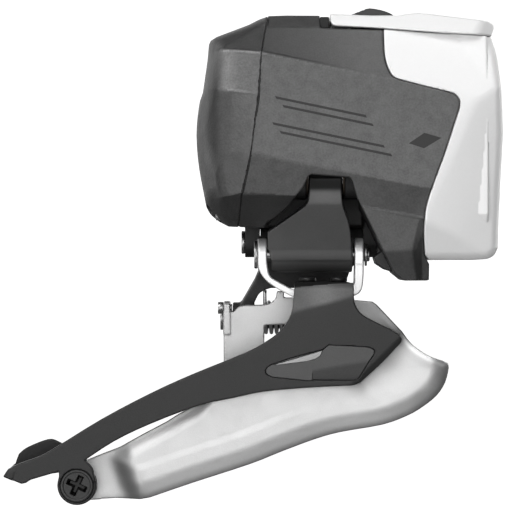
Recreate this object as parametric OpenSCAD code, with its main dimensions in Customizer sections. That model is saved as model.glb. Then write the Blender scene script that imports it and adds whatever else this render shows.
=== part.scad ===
// Wireless electric front derailleur for a bicycle, for a frame with a braze-on tab.
// Millimetres. +X is the front of the bicycle, +Y is towards the frame, +Z is up.
// The origin is the mouth of the M5 hole that bolts the derailleur to the frame's tab.

/* [Linkage] */
// Distance between the two pivots of each link
link_length = 17.4; // [17:0.1:17.8]
// How far the links lean inboard at rest, on the small chainring, in degrees
link_lean = 12; // [11:0.5:13]
// Outer link's upper pivot, across the bicycle
outer_pivot_y = -20; // [-20.5:0.1:-19.5]
// Outer link's upper pivot, height
outer_pivot_z = 4.1; // [3.8:0.1:4.4]
// Inner link's upper pivot, across the bicycle
inner_pivot_y = -7; // [-7.2:0.1:-6.8]
// Inner link's upper pivot, height
inner_pivot_z = -10.1; // [-10.4:0.1:-9.8]
// Radius of the pivot pins
pin_r = 1.5; // [1.3:0.1:1.6]
// Radius of the shaft that drives the outer link
shaft_r = 2; // [1.9:0.05:2.1]

/* [Drive unit] */
// Wall thickness of the plastic shells
wall = 1.7; // [1.5:0.1:1.9]
// Radius on the shells' edges
edge_r = 0.8; // [0.6:0.1:1]
// Gap between shell parts that meet
seam_gap = 0.12; // [0.08:0.01:0.2]

/* [Frame mount] */
// Radius of the M5 hole
mount_hole_r = 2.5; // [2.5]
// Depth of the M5 hole
mount_hole_depth = 9; // [8:0.5:10]
// Radius of the boss round the hole
boss_r = 7; // [6.5:0.1:7.5]
// Radius of the curved face that seats on the frame's tab
boss_face_r = 20; // [16:1:24]

/* [Gears] */
// Gear module
gear_module = 0.4; // [0.4]
// Pressure angle in degrees
pressure_angle = 25; // [25]
// Teeth on each pinion
pinion_teeth = 12; // [12]
// Teeth on each intermediate wheel
wheel_teeth = 36; // [36]
// Teeth on the full circle of the output sector
sector_teeth = 48; // [48]
// Thinning of each tooth for backlash
backlash = 0.05; // [0.03:0.01:0.08]

/* [Cage] */
// Thickness of the cage's metal plates
plate_t = 1.5; // [1.3:0.1:1.6]
// Thickness of the outer composite arm
arm_t = 2.2; // [2:0.1:2.4]
// Outboard face of the outer arm
arm_face_y = -29.7; // [-30:0.1:-29.5]
// Inboard face of the inner plate
inner_plate_y = -10.2; // [-10.4:0.1:-10]
// Radius of the tail screw's boss
tail_boss_r = 4.3; // [4:0.1:4.5]

/* [Battery] */
// Clearance round the battery in its bay
bay_gap = 0.25; // [0.2:0.05:0.4]
// Radius of one cell
cell_r = 3.9; // [3.6:0.1:3.9]

/* [Hidden] */
$fn = 48;

run_gap = 0.05;      // radial clearance of a turning fit
snug = 0.02;         // radial clearance of a fixed fit
far = 100;           // longer than any part

P1 = [outer_pivot_y, outer_pivot_z];
P3 = [inner_pivot_y, inner_pivot_z];
link_vector = link_length * [sin(link_lean), -cos(link_lean)];
P2 = P1 + link_vector;
P4 = P3 + link_vector;

// ---- helpers ----

// Prism of an XZ outline between two values of Y
module xz_prism(outline, y0, y1)
    translate([0, y1, 0]) rotate([90, 0, 0]) linear_extrude(y1 - y0) polygon(outline);

// Prism of a YZ outline between two values of X
module yz_prism(outline, x0, x1)
    translate([x0, 0, 0]) rotate([90, 0, 90]) linear_extrude(x1 - x0) polygon(outline);

// Cylinder along X about the axis at [y, z]
module x_cyl(r, x0, x1, at)
    translate([x0, at[0], at[1]]) rotate([0, 90, 0]) cylinder(r = r, h = x1 - x0);

// Cylinder along Y about the axis at [x, z]
module y_cyl(r, y0, y1, at)
    translate([at[0], y1, at[1]]) rotate([90, 0, 0]) cylinder(r = r, h = y1 - y0);

// Box between two corners
module box(a, b) translate(a) cube(b - a);

// Smooth curve through points (Catmull-Rom), n steps a span; the ends are kept
function clamp_at(p, i) = p[max(0, min(len(p) - 1, i))];
function spline_point(a, b, c, d, t) = 0.5 * (2 * b + (c - a) * t
    + (2 * a - 5 * b + 4 * c - d) * t * t + (3 * b - a - 3 * c + d) * t * t * t);
function curve(p, n = 4) = concat(
    [for (i = [0 : len(p) - 2], k = [0 : n - 1])
        spline_point(clamp_at(p, i - 1), p[i], p[i + 1], clamp_at(p, i + 2), k / n)],
    [p[len(p) - 1]]);

// Puts a link's own frame, with its upper pivot at the origin and its lower pivot below it, in place
module in_link_frame(pivot)
    translate([0, pivot[0], pivot[1]]) rotate([link_lean, 0, 0]) children();

// Tube of radius r along a path that keeps clear of the X direction
function unit(v) = v / norm(v);
function path_ring(path, i, r, sides) =
    let (t = unit(clamp_at(path, i + 1) - clamp_at(path, i - 1)),
         a = unit(cross(t, [1, 0, 0])), b = cross(t, a))
    [for (k = [0 : sides - 1]) path[i] + r * (cos(360 * k / sides) * a + sin(360 * k / sides) * b)];
module tube(path, r, sides = 8) {
    rings = len(path);
    points = [for (i = [0 : rings - 1]) each path_ring(path, i, r, sides)];
    walls = [for (i = [0 : rings - 2], k = [0 : sides - 1])
        [i * sides + k, i * sides + (k + 1) % sides,
         (i + 1) * sides + (k + 1) % sides, (i + 1) * sides + k]];
    first = [[for (k = [sides - 1 : -1 : 0]) k]];
    last = [[for (k = [0 : sides - 1]) (rings - 1) * sides + k]];
    polyhedron(points, concat(walls, first, last), convexity = 6);
}

// ---- drive unit shell ----

// Corner points of the faceted body, from the rear face to the battery's front face
rear_face = [
    [-22.4, -10, 34.6], [-22.4, -18, 34.6], [-24.1, -22, 23.4], [-25.3, -23, 14], [-24.5, -22, 4.4],
    [-22.2, -18, -3.2], [-22.2, -10, -3.2], [-24.5, -8, 4.4], [-25.3, -8, 14], [-24.1, -8, 23.4]
];
rear_corner = [
    [-19.6, -26.5, 32.2], [-20.5, -29.8, 24.6], [-20.9, -31, 14], [-20.8, -30.8, 8.6], [-20, -28.8, 1],
    [-17.5, -20.5, -6.2], [-20, -5, 30], [-21, -4.6, 14], [-20, -5, 1], [-17.5, -8, -6.2]
];
seam_ring = [
    [-11.6, -10, 38.6], [-11.6, -20, 38.6], [-12, -26, 36.4], [-12, -30.2, 32.4], [-12, -32.2, 24.2],
    [-12, -33.2, 8.3], [-12, -31.6, 0.6], [-12, -22, -6.2], [-12, -8, -6.2], [-12, -4.6, 0],
    [-12, -4.6, 33]
];
front_ring = [
    [-5, -10, 39.4], [-5, -20, 39.4], [30, -26, 36], [30, -31, 22.6], [30, -32.6, 1], [29, -31, -6],
    [25, -23, -18.3], [25, -8, -18.3], [30, -4.6, 0], [30, -4.6, 33]
];
battery_corner = [
    [22.6, -10, 39.9], [22.6, -20, 39.9], [38, -12, 38], [38, -19, 38], [38, -25, 35.2],
    [38.4, -29, 24],
    [38.4, -29.8, 5], [38, -28, -12.8], [38, -7.6, 35.2], [38.4, -5.4, 24], [38.4, -5.4, 5],
    [38, -7.6, -12.8]
];
battery_face = [
    [39.4, -11, 36], [39.4, -20, 36], [40.4, -22, 28.5], [41.2, -23, 19.4], [41, -23, 10],
    [40.4, -22, -0.7],
    [39.8, -20, -12.4], [40.4, -9, 28.5], [41.2, -8, 19.4], [41, -8, 10], [40.4, -9, -0.7],
    [39.8, -10, -12.4]
];
body_points = concat(rear_face, rear_corner, seam_ring, front_ring, battery_corner, battery_face);
body_centre = [8, -18, 15];

function inset(p, d) = [for (i = [0 : 2]) p[i] + (p[i] < body_centre[i] ? d : -d)];

module body_solid(d = 0) hull() for (p = body_points) translate(inset(p, d)) sphere(edge_r, $fn = 12);

// Side outline of the two plastic shells together, anticlockwise from the top rear
bay_edge = concat(
    [[15.6, 36.4]],
    curve([[15.7, 32.2], [16.1, 29.2], [17.2, 26.4], [19.2, 25.1]], 4),
    [[30, 22.3]],
    curve([[31, 21.8], [31.8, 20.8], [31.9, 19.4]], 3),
    [[28.7, 9.2], [25.2, 0.6]],
    curve([[24.4, -2.6], [24.1, -6.2], [24.2, -9.4], [24.6, -13.1]], 3),
    [[25.6, -15], [25.6, -18.1], [25.2, -18.5]]);
link_notch = [[20, -18.5], [17.9, -16.9], [9.7, -0.5], [8.6, 3.4], [8, 4], [-0.4, 4.6], [-0.9, 4.2],
    [-2, 1.9], [-5.3, -2.3], [-8, -4.7], [-9.9, -5.85], [-10.4, -7]];
shell_outline = concat(
    [[-30, -7], [-30, 44], [1.8, 44], [1.8, 37.4]], bay_edge, link_notch);

// Seam between rear cap and main housing, as a line [x, z] from top to bottom
seam_top = [-9.2, 45];
seam_bottom = [-16.6, -17];
module behind_seam(shift) xz_prism([[-40, seam_top[1]], [-40, seam_bottom[1]],
    seam_bottom + [shift, 0], seam_top + [shift, 0]], -60, 20);

cavity_floor = 11.5;     // floor of the electronics bay
gear_floor = -0.6;       // floor of the gear bay, outboard of the knuckle
gear_bay_x = -5.7;       // front wall of the gear bay
bulkhead_x = 13.6;       // rear face of the wall in front of the electronics
bay_top = 35;            // ceiling under the battery's hook
knuckle_back_y = -11;    // outboard face of the knuckle's block
knuckle_box = [[-15.4, knuckle_back_y, -30], [16, 5, 11]];

module cavity() intersection() {
    body_solid(wall + edge_r * 0.4);
    union() {
        box([-40, -60, cavity_floor], [gear_bay_x, 20, 60]);
        box([-40, -60, gear_floor], [gear_bay_x, knuckle_back_y - 2.4, 60]);
        box([gear_bay_x - 1, -60, cavity_floor], [0, 20, 60]);
        box([-1, -60, cavity_floor], [bulkhead_x, 20, bay_top]);
    }
}

cap_screw_at = [[-7.8, 31.6], [-7.8, 14], [-18, -3.6]];
cap_screw_head_x = -21.4;
cap_boss_end_x = -10.6;
module cap_bosses() intersection() {
    body_solid(wall * 0.5);
    for (p = cap_screw_at) x_cyl(2.3, -26, cap_boss_end_x, p);
}
module cap_screw_holes() for (p = cap_screw_at) {
    x_cyl(1, cap_screw_head_x, cap_boss_end_x - 0.6, p);
    x_cyl(1.9, -40, cap_screw_head_x + 1.5, p);
}

module shells() {
    difference() {
        intersection() {
            body_solid();
            xz_prism(shell_outline, -60, 20);
        }
        difference() {
            cavity();
            cap_bosses();
        }
        cap_screw_holes();
    }
}

link_pocket = [[-4.5, -31.4, -30], [10.7, -10, 9.2]];
// Battery core, a prism along X that fits the bay between the housing's cheeks, in the YZ plane
core_x = [16.6, 38.5];
core_outline = [[-7, -13.2], [-7, 36], [-24.5, 36], [-29.4, 22], [-29.4, -4], [-24.2, -13.2]];
core_middle = [-18, 12];
function grown(p, g) = p + g * [p[0] < core_middle[0] ? -1 : 1, p[1] < core_middle[1] ? -1 : 1];
bay_outline = [for (p = core_outline) grown(p, bay_gap) + [0, p[1] > core_middle[1] ? 10 : 0]];
button_at = [-4, -15];
lens_at = [0.2, -15];
button_r = 2.6;
contact_low = [12.4, -23, 17];
contact_high = [17.4, -13, 23];

module main_housing() color("#3a3b3d") difference() {
    shells();
    behind_seam(seam_gap);
    box(knuckle_box[0] - [0.3, 0.3, 0], knuckle_box[1] + [0.3, 0, 0.3]);
    box(link_pocket[0], link_pocket[1]);
    yz_prism(bay_outline, core_x[0] - bay_gap, core_x[1] + 20);
    x_cyl(shaft_r + 0.15, gear_bay_x - 1, link_pocket[0][0] + 1, P1);
    x_cyl(seal_r + snug, seal_x, link_pocket[0][0] + 1, P1);
    translate([button_at[0], button_at[1], 30]) cylinder(r = button_r + 0.15, h = 20);
    translate([lens_at[0], lens_at[1], 30]) cylinder(r = 0.9 + snug, h = 20);
    box(contact_low - [0, snug, snug], contact_high + [0, snug, snug]);
    box([8.2, -20.6, 36], [20, -15.4, 40]);
    for (p = knuckle_screw_at) y_cyl(1.05, -13.2, 0, p);
}

module rear_cap() color("#333436") difference() {
    intersection() {
        shells();
        behind_seam(-seam_gap);
    }
    box(knuckle_box[0] - [0.3, 0.3, 0], knuckle_box[1] + [0.3, 0, 0.3]);
}

// Gasket in a groove where the shells meet: it fills the seam, short of both surfaces
module housing_gasket() color("#1c1c1d") difference() {
    intersection() {
        body_solid(0.5);
        xz_prism(shell_outline, -60, 20);
        behind_seam(seam_gap - 0.02);
    }
    behind_seam(0.02 - seam_gap);
    body_solid(wall + edge_r * 0.4 - 0.3);
    box(knuckle_box[0] - [0.4, 0.4, 0], knuckle_box[1] + [0.4, 0, 0.4]);
    for (p = cap_screw_at) x_cyl(2.4, -40, 0, p);
}

// Socket screw along X, with its head at x0 and its tip at x1
module x_screw(head_r, shank_r, x0, x1, at) difference() {
    union() {
        x_cyl(head_r, x0, x0 + 1.3, at);
        x_cyl(shank_r, x0 + 1.2, x1, at);
    }
    translate([x0 - 0.1, at[0], at[1]]) rotate([0, 90, 0]) cylinder(r = 0.8, h = 1, $fn = 6);
}

module cap_screws() color("#9a9b9d")
    for (p = cap_screw_at) x_screw(1.7, 0.95, cap_screw_head_x + 0.15, cap_boss_end_x - 0.8, p);

// ---- knuckle, the metal part that bolts to the frame and carries the links ----

lug_r = 3.4;
left_lug = [-14.8, -11.4];
right_lug = [11.8, 15];
left_shaft_lug = [-4.2, -1.2];
right_shaft_lug = [7.3, 10.3];
shaft_lug_r = 4.4;
bush_r = shaft_r + 0.9;
knuckle_screw_at = [[-7.6, 8.4], [9.4, 8.4]];
knuckle_front_y = -4.2;

module link_lug(x) {
    x_cyl(lug_r, x[0], x[1], P3);
    box([x[0], P3[0] - lug_r, P3[1]], [x[1], P3[0] + lug_r, -3]);
}
module shaft_lug(x) {
    x_cyl(shaft_lug_r, x[0], x[1], P1);
    box([x[0], P1[0], P1[1] - shaft_lug_r], [x[1], knuckle_back_y + 1, P1[1] + shaft_lug_r]);
}
module mount_boss() intersection() {
    y_cyl(boss_r, knuckle_back_y + 2, 0, [0, 0]);
    translate([0, -boss_face_r, -20]) cylinder(r = boss_face_r, h = 40, $fn = 128);
}
module knuckle() color("#232425") difference() {
    union() {
        box([-9.8, knuckle_back_y, -6.6], [11.8, knuckle_front_y, 10.8]);
        box([left_lug[0], knuckle_back_y + 0.8, -6.9], [right_lug[1], knuckle_front_y + 0.4, -2.4]);
        mount_boss();
        link_lug(left_lug);
        link_lug(right_lug);
        shaft_lug(left_shaft_lug);
        shaft_lug(right_shaft_lug);
    }
    y_cyl(mount_hole_r, -mount_hole_depth, 5, [0, 0]);
    x_cyl(pin_r + snug, -30, 30, P3);
    x_cyl(bush_r + snug, -10, 20, P1);
    for (p = knuckle_screw_at) {
        y_cyl(1.25, -20, 0, p);
        y_cyl(2.1, knuckle_front_y - 1.8, 0, p);
    }
    // room for the inner link's hub between the lugs
    x_cyl(lug_r + 0.5, left_lug[1], right_lug[0], P3);
}

module y_screw(head_r, shank_r, y_tip, y_head, at) difference() {
    union() {
        y_cyl(head_r, y_head - 1.4, y_head, at);
        y_cyl(shank_r, y_tip, y_head - 1.3, at);
    }
    translate([at[0], y_head + 0.1, at[1]]) rotate([90, 0, 0]) cylinder(r = 1, h = 1, $fn = 6);
}
module knuckle_screws() color("#8d8e90")
    for (p = knuckle_screw_at) y_screw(1.95, 1, -12.9, knuckle_front_y - 0.3, p);

// Flanged bush in each shaft lug, with its flange on the hub's side
module bush(x, flange_x) difference() {
    union() {
        x_cyl(bush_r, x[0], x[1], P1);
        x_cyl(bush_r + 0.8, flange_x, flange_x + 0.4, P1);
    }
    x_cyl(shaft_r + run_gap, -10, 20, P1);
}
module shaft_bushes() color("#8a6f3c") {
    bush(left_shaft_lug, left_shaft_lug[1]);
    bush(right_shaft_lug, right_shaft_lug[0] - 0.4);
}

seal_r = 3;
seal_x = link_pocket[0][0] - 0.8;
module shaft_seal() color("#161616") difference() {
    x_cyl(seal_r, seal_x + 0.02, link_pocket[0][0], P1);
    x_cyl(shaft_r + run_gap, -10, 0, P1);
}

// Plain pin with a head at its rear end and a clip groove at its front end
module headed_pin(x0, x1, head_r, at) color("#d8d9db") difference() {
    union() {
        x_cyl(pin_r, x0, x1, at);
        x_cyl(head_r, x0 - 0.8, x0, at);
    }
    difference() {
        x_cyl(far, x1 - 1.1, x1 - 0.6, at);
        x_cyl(pin_r - 0.4, x1 - 2, x1, at);
    }
}
// Clip in the groove of a headed pin that ends at x1
module clip(x1, at) color("#6f7072") difference() {
    x_cyl(pin_r + 1, x1 - 1.08, x1 - 0.62, at);
    x_cyl(pin_r - 0.38, x1 - 2, x1, at);
    box([x1 - 3, at[0] - 0.7, at[1]], [x1 + 1, at[0] + 0.7, at[1] + 4]);
}

module inner_link_pin() headed_pin(left_lug[0], right_lug[1] + 1.2, 2.6, P3);
module inner_pin_clips() clip(right_lug[1] + 1.2, P3);

// ---- motor and gears, along X inside the shells ----

B = P1 + [0, gear_module * (sector_teeth + pinion_teeth) / 2];
step_distance = gear_module * (wheel_teeth + pinion_teeth) / 2;
b_to_a = 55;      // direction from gear B's axis to gear A's, in degrees from +Y
a_to_motor = 145; // direction from gear A's axis to the motor's
A = B + step_distance * [cos(b_to_a), sin(b_to_a)];
M = A + step_distance * [cos(a_to_motor), sin(a_to_motor)];

// Involute angle in degrees, and a tooth's half angle at radius rho
function involute(a) = tan(a) * 180 / PI - a;
function tooth_half(teeth, rho) =
    let (pitch_r = gear_module * teeth / 2, base_r = pitch_r * cos(pressure_angle))
    90 / teeth - backlash * 90 / (PI * pitch_r) + involute(pressure_angle)
        - involute(acos(min(1, base_r / rho)));
function polar(r, a) = r * [cos(a), sin(a)];
function gear_outline(teeth, first) =
    let (pitch_r = gear_module * teeth / 2, root_r = pitch_r - 1.2 * gear_module,
         low_r = max(root_r + 0.02, pitch_r * cos(pressure_angle)), tip_r = pitch_r + 0.9 * gear_module,
         n = 4, rho = [for (k = [0 : n]) low_r + (tip_r - low_r) * k / n])
    [for (i = [0 : teeth - 1]) let (a = first + 360 * i / teeth) each concat(
        [polar(root_r, a - tooth_half(teeth, low_r))],
        [for (k = [0 : n]) polar(rho[k], a - tooth_half(teeth, rho[k]))],
        [for (k = [n : -1 : 0]) polar(rho[k], a + tooth_half(teeth, rho[k]))],
        [polar(root_r, a + tooth_half(teeth, low_r))])];
// Gear about the axis at, with a tooth centred on the direction first
module gear(teeth, first, x0, x1, at)
    translate([0, at[0], at[1]]) yz_prism(gear_outline(teeth, first), x0, x1);

wheel_b = [-12.4, -10.4];
pinion_b = [-10.4, -6.2];
wheel_a = [-15.6, -13.6];
pinion_a = [-13.6, -9.9];
sector_x = [-9.4, -6.6];
gear_pin_r = 0.8;
sector_from = 78;
sector_to = 132;

module sector_gear() color("#b08d4a") difference() {
    union() {
        intersection() {
            gear(sector_teeth, 90, sector_x[0], sector_x[1], P1);
            yz_prism([P1, P1 + polar(30, sector_from), P1 + polar(30, (sector_from + sector_to) / 2),
                P1 + polar(30, sector_to)], sector_x[0], sector_x[1]);
        }
        x_cyl(3.6, sector_x[0], sector_x[1] + 0.6, P1);
    }
    x_cyl(shaft_r + snug, -20, 0, P1);
}
module gear_b() color("#d9d6cc") difference() {
    union() {
        gear(pinion_teeth, 270 + 180 / pinion_teeth, pinion_b[0], pinion_b[1], B);
        gear(wheel_teeth, b_to_a, wheel_b[0], wheel_b[1], B);
    }
    x_cyl(gear_pin_r + run_gap, -20, 0, B);
}
module gear_a() color("#d9d6cc") difference() {
    union() {
        gear(pinion_teeth, b_to_a + 180 + 180 / pinion_teeth, pinion_a[0], pinion_a[1], A);
        gear(wheel_teeth, a_to_motor, wheel_a[0], wheel_a[1], A);
    }
    x_cyl(gear_pin_r + run_gap, -20, 0, A);
}
module motor_pinion() color("#b08d4a") difference() {
    gear(pinion_teeth, a_to_motor + 180 + 180 / pinion_teeth, wheel_a[0] - 0.3, wheel_a[1] + 0.3, M);
    x_cyl(0.75 + snug, -20, 0, M);
}
module motor_shaft() color("#c9cacc") x_cyl(0.75, wheel_a[0] - 0.6, 10, M);

left_plate = [-18, -16.8];
right_plate = [-5.5, -4.1];
pillar_at = [[-25.2, 25.2], [-11.8, 12.9], [-13.4, 33.4]];
gearbox_outline = [[-26.6, 26.6], [-26.6, 23.8], [-22.4, 13.4], [-18, 13.2], [-10.5, 11.7],
    [-10.5, 14.4],
    [-10.8, 24.4], [-12, 34.2], [-18, 34.2], [-22.8, 32.4]];
module gearbox_frame() color("#5c5d60") difference() {
    union() {
        yz_prism(gearbox_outline, left_plate[0], left_plate[1]);
        yz_prism(gearbox_outline, right_plate[0], right_plate[1]);
        for (p = pillar_at) x_cyl(1.1, left_plate[0], right_plate[1], p);
    }
    x_cyl(gear_pin_r + snug, -30, 0, A);
    x_cyl(gear_pin_r + snug, -30, 0, B);
    x_cyl(2 + snug, -10, 0, M);
    x_cyl(1, -30, -10, M);
}
module gear_pins() color("#c9cacc") for (p = [A, B]) x_cyl(gear_pin_r, left_plate[0], right_plate[1],
    p);

motor_r = 5;
module motor_can() color("#b9babc") difference() {
    union() {
        intersection() {
            x_cyl(motor_r, right_plate[1] + 0.05, 12.4, M);
            box([-10, M[0] - 9, M[1] - 4.6], [20, M[0] + 9, M[1] + 4.6]);
        }
        x_cyl(2, right_plate[0], 0, M);
    }
    x_cyl(0.75 + run_gap, -10, 10.2, M);
}

board_y = -8.4;
module circuit_board() color("#1f4a2c") box([-3.6, board_y, 13.4], [13.2, board_y + 1, 33]);
module board_chips() color("#151515") {
    box([0, board_y - 1.1, 22], [5, board_y - 0.02, 27]);
    box([7, board_y - 0.9, 28.5], [11, board_y - 0.02, 31.5]);
    box([7.5, board_y - 1.3, 14.5], [12, board_y - 0.02, 18]);
    box([-2.6, board_y - 0.9, 15], [1, board_y - 0.02, 19]);
}

pins_at = [[-20.8, 20], [-18, 20], [-15.2, 20]];
module contact_block() color("#26272a") difference() {
    box(contact_low, contact_high);
    for (p = pins_at) x_cyl(0.8 + snug, 0, 30, p);
}
module contact_pins() color("#c9a24a") for (p = pins_at) {
    x_cyl(0.8, 11.8, 17.9, p);
}

module status_lens() color("#d5e4e0") translate([lens_at[0], lens_at[1], 36.6]) cylinder(r = 0.9,
    h = 3.1);

// ---- outer link, driven by the motor ----

hub_r = 3.9;
upper_hub_x = [-0.6, 6.6];
lower_hub_x = [-8.9, 9.1];
outer_link_outline = concat(
    [[-0.5, -0.5]], curve([[-0.7, -4], [-1.2, -5.2], [-2.4, -6.3]], 3),
    [[-9.7, -11.5], [-9.7, -15], [-8.9, -17.8], [9.1, -17.8], [8.7, -12], [8.2, -9.2]],
    curve([[7, -5.8], [6.7, -4], [6.6, -0.5]], 3));
module outer_link() color("#404143") in_link_frame(P1) difference() {
    union() {
        xz_prism(outer_link_outline, -hub_r, -hub_r + 2.2);
        x_cyl(hub_r, upper_hub_x[0], upper_hub_x[1], [0, 0]);
        x_cyl(hub_r, lower_hub_x[0], lower_hub_x[1], [0, -link_length]);
    }
    x_cyl(shaft_r + snug, -20, 20, [0, 0]);
    x_cyl(pin_r + run_gap, -20, 20, [0, -link_length]);
}
module drive_shaft() color("#c9cacc") x_cyl(shaft_r, sector_x[0] - 0.6, right_shaft_lug[1] + 0.2, P1);

// ---- inner link ----

link_web = 1.8;
left_leg = [-17.6, -12.9];
right_leg = [2.2, 6.8];
hub3_x = [left_lug[1] + 0.3, right_lug[0] - 0.3];
inner_link_outline = concat(
    [[hub3_x[0], 0], [hub3_x[0], -5]], curve([[-12.6, -8.6], [-15.4, -13.6], [-17.6, -17.4]], 3),
    [[left_leg[1], -17.4]], curve([[-12.7, -13.8], [-11.4, -11.4], [-9, -10.3]], 3),
    [[-2, -10.3], [right_leg[0], -14], [right_leg[0], -17.4], [right_leg[1], -17.4],
    [right_leg[1], -13],
    [9, -6], [hub3_x[1], -3], [hub3_x[1], 0]]);
module inner_link() color("#2b2c2e") in_link_frame(P3) difference() {
    union() {
        xz_prism(inner_link_outline, -link_web, link_web);
        x_cyl(lug_r, hub3_x[0], hub3_x[1], [0, 0]);
        for (x = [left_leg, right_leg]) x_cyl(lug_r, x[0], x[1], [0, -link_length]);
    }
    x_cyl(pin_r + run_gap, -30, 30, [0, 0]);
    x_cyl(pin_r + run_gap, -30, 30, [0, -link_length]);
}

// ---- cage ----

// Vertical levels of the joint between fork, arm and inner plate
flange_top = -18.9;
web_top = flange_top - 1.8;
web_bottom = web_top - 1.8;
left_ear = [-11.9, -9.9];
right_ear = [9.6, 11.6];
ear_r = 3.7;
web_y = [-24, inner_plate_y];
rivet_at = [[-0.9, -20.5], [6, -20.5]];

module ear(x) {
    x_cyl(ear_r, x[0], x[1], P2);
    box([x[0], P2[0] - ear_r, -18.4], [x[1], P2[0] + ear_r, P2[1]]);
}
// Each ear sweeps in below its pivot to meet the flat web
left_sweep = concat(curve([[-11.9, -14], [-11.6, -16.4], [-10.05, -18.7], [-7.4, -20.6],
    [-4.4, -22.2]], 4),
    [[-3, web_bottom], [-3, web_top], [-3.6, web_top]], curve([[-4.4, -20.5], [-7.2, -19],
    [-9.3, -17.4], [-9.9, -14]], 4));
right_sweep = concat([[3, web_top], [3, web_bottom]], curve([[8, web_bottom], [10.4, -21.6],
    [11.4, -19.6], [11.6, -17]], 4),
    [[9.6, -17]], curve([[9.5, -18.8], [9.3, -19.6], [8.6, web_top]], 3));
module cage_fork() color("#d3d4d6") difference() {
    union() {
        ear(left_ear);
        ear(right_ear);
        xz_prism(left_sweep, P2[0] - ear_r, P2[0] + ear_r);
        xz_prism(right_sweep, P2[0] - ear_r, P2[0] + ear_r);
        box([-3.4, web_y[0], web_bottom], [8.4, web_y[1], web_top]);
    }
    x_cyl(pin_r + snug, -30, 30, P2);
    for (p = rivet_at) translate([p[0], p[1], -40]) cylinder(r = 1.2 + snug, h = 60);
}
module cage_rivets() color("#3c3d3f") for (p = rivet_at) translate([p[0], p[1], 0]) {
    translate([0, 0, web_bottom - 0.7]) cylinder(r = 1.2, h = flange_top + 0.9 - web_bottom + 0.7);
    translate([0, 0, flange_top + 0.02]) cylinder(r = 1.9, h = 0.9);
    translate([0, 0, web_bottom - 0.7]) cylinder(r = 1.9, h = 0.68);
}

tail_at = [-51.5, -63.4];
arm_upper_edge = concat(
    [[-3.9, -19.6]],
    curve([[-4.2, -22.9], [-4.7, -26], [-6.9, -29.4], [-10, -31.8], [-14.6, -34.3], [-26.4, -39.1],
        [-35.6, -43.3], [-46.2, -48.9], [-56.1, -55], [-59.7, -57], [-64.2, -58.6], [-66.6, -60]], 3));
arm_tail = [[-67.5, -61.4], [-63.6, -63], [-62.6, -62.8], [-61.5, -62.1], [-55.4, -60.3], [-55.4, -63],
    [-54, -63.4], [-48.6, -63.4], [-47.4, -62.2], [-48, -59.6]];
arm_lower_edge = curve([[-49.6, -57.8], [-43.3, -53.7], [-35.6, -50], [-24.8, -45.9],
    [-17.1, -44.2], [-10.9, -42.9],
    [-2.6, -42.1], [8.6, -41.5]], 3);
arm_nose = [[9.6, -41.3], [10.6, -40.8], [15.3, -36.5], [19.3, -32.2], [19.6, -31.3], [19.1, -30.4]];
arm_front = curve([[16.7, -29], [11.9, -26.6], [10.1, -25.1], [9.2, -23.1], [9.1, -19.6]], 3);
arm_outline = concat(arm_upper_edge, arm_tail, arm_lower_edge, arm_nose, arm_front);
window_outline = concat(
    curve([[-8.6, -39.7], [-10, -38.9], [-10.1, -37.9], [-9.1, -37]], 3),
    [[-2.3, -34.7], [2.6, -33.5], [3.6, -32.6], [11.4, -32.9], [13.6, -33.7], [12.6, -36.2],
    [9.4, -40.3], [0.4, -40.4]]);
inlay_depth = 0.9;
arm_back_y = arm_face_y + arm_t;

// Tail hook: the arm wraps inboard behind the chain's path
tail_wall_y = -14.6;
tail_wall = concat([[-66.6, -61.6], [-65.9, -59]], curve([[-65.3, -57.4], [-63.4, -55.9],
    [-58.8, -54.1], [-56.6, -54.5], [-54, -56]], 3),
    [[-49.5, -59], [-49.5, -60.6], [-62, -62.4]]);
tail_end = [[-67.5, -61.4], [-66.4, -59.7], [-64.8, -60.1], [-65.6, -62.2]];

module outer_cage_arm() color("#3a3a3c") difference() {
    union() {
        xz_prism(arm_outline, arm_face_y, arm_back_y);
        box([-3.9, arm_face_y + 1.2, web_top + 0.02], [9.1, arm_back_y, flange_top]);
        box([-3.3, arm_back_y - 0.1, web_top + 0.02], [8.3, -15, flange_top]);
        x_cyl(1.2, -3.9, 9.1, [arm_face_y + 1.2, -20.1]);
        y_cyl(tail_boss_r, arm_face_y + 0.7, tail_plate_y[0] - 0.02, tail_at);
        xz_prism(tail_end, arm_face_y, tail_wall_y);
        xz_prism(tail_wall, tail_wall_y - 1.4, tail_wall_y);
    }
    xz_prism(window_outline, arm_face_y - 1, arm_face_y + inlay_depth);
    y_cyl(2 + snug, -60, 0, tail_at);
    y_cyl(3.65 + snug, -60, tail_head_y, tail_at);
    for (p = rivet_at) translate([p[0], p[1], -40]) cylinder(r = 1.2 + snug, h = 60);
}
// Relief badge in the arm's window, with a low ridge between its facets
module arm_inlay() color("#565759") intersection() {
    xz_prism([for (p = window_outline) p + 0.02 * unit([2, -37] - p)], arm_face_y - 1,
    arm_face_y + inlay_depth - 0.02);
    union() {
        box([-12, arm_face_y + 0.35, -45], [16, arm_face_y + 2, -30]);
        xz_prism([[-10, -38], [-4, -36.6], [1.4, -35.8], [3.4, -33], [13, -33.6], [12.4, -35.6],
        [4, -37.6], [0.8, -40.2], [-8, -39.4]],
            arm_face_y + 0.1, arm_face_y + 1);
    }
}

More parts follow.
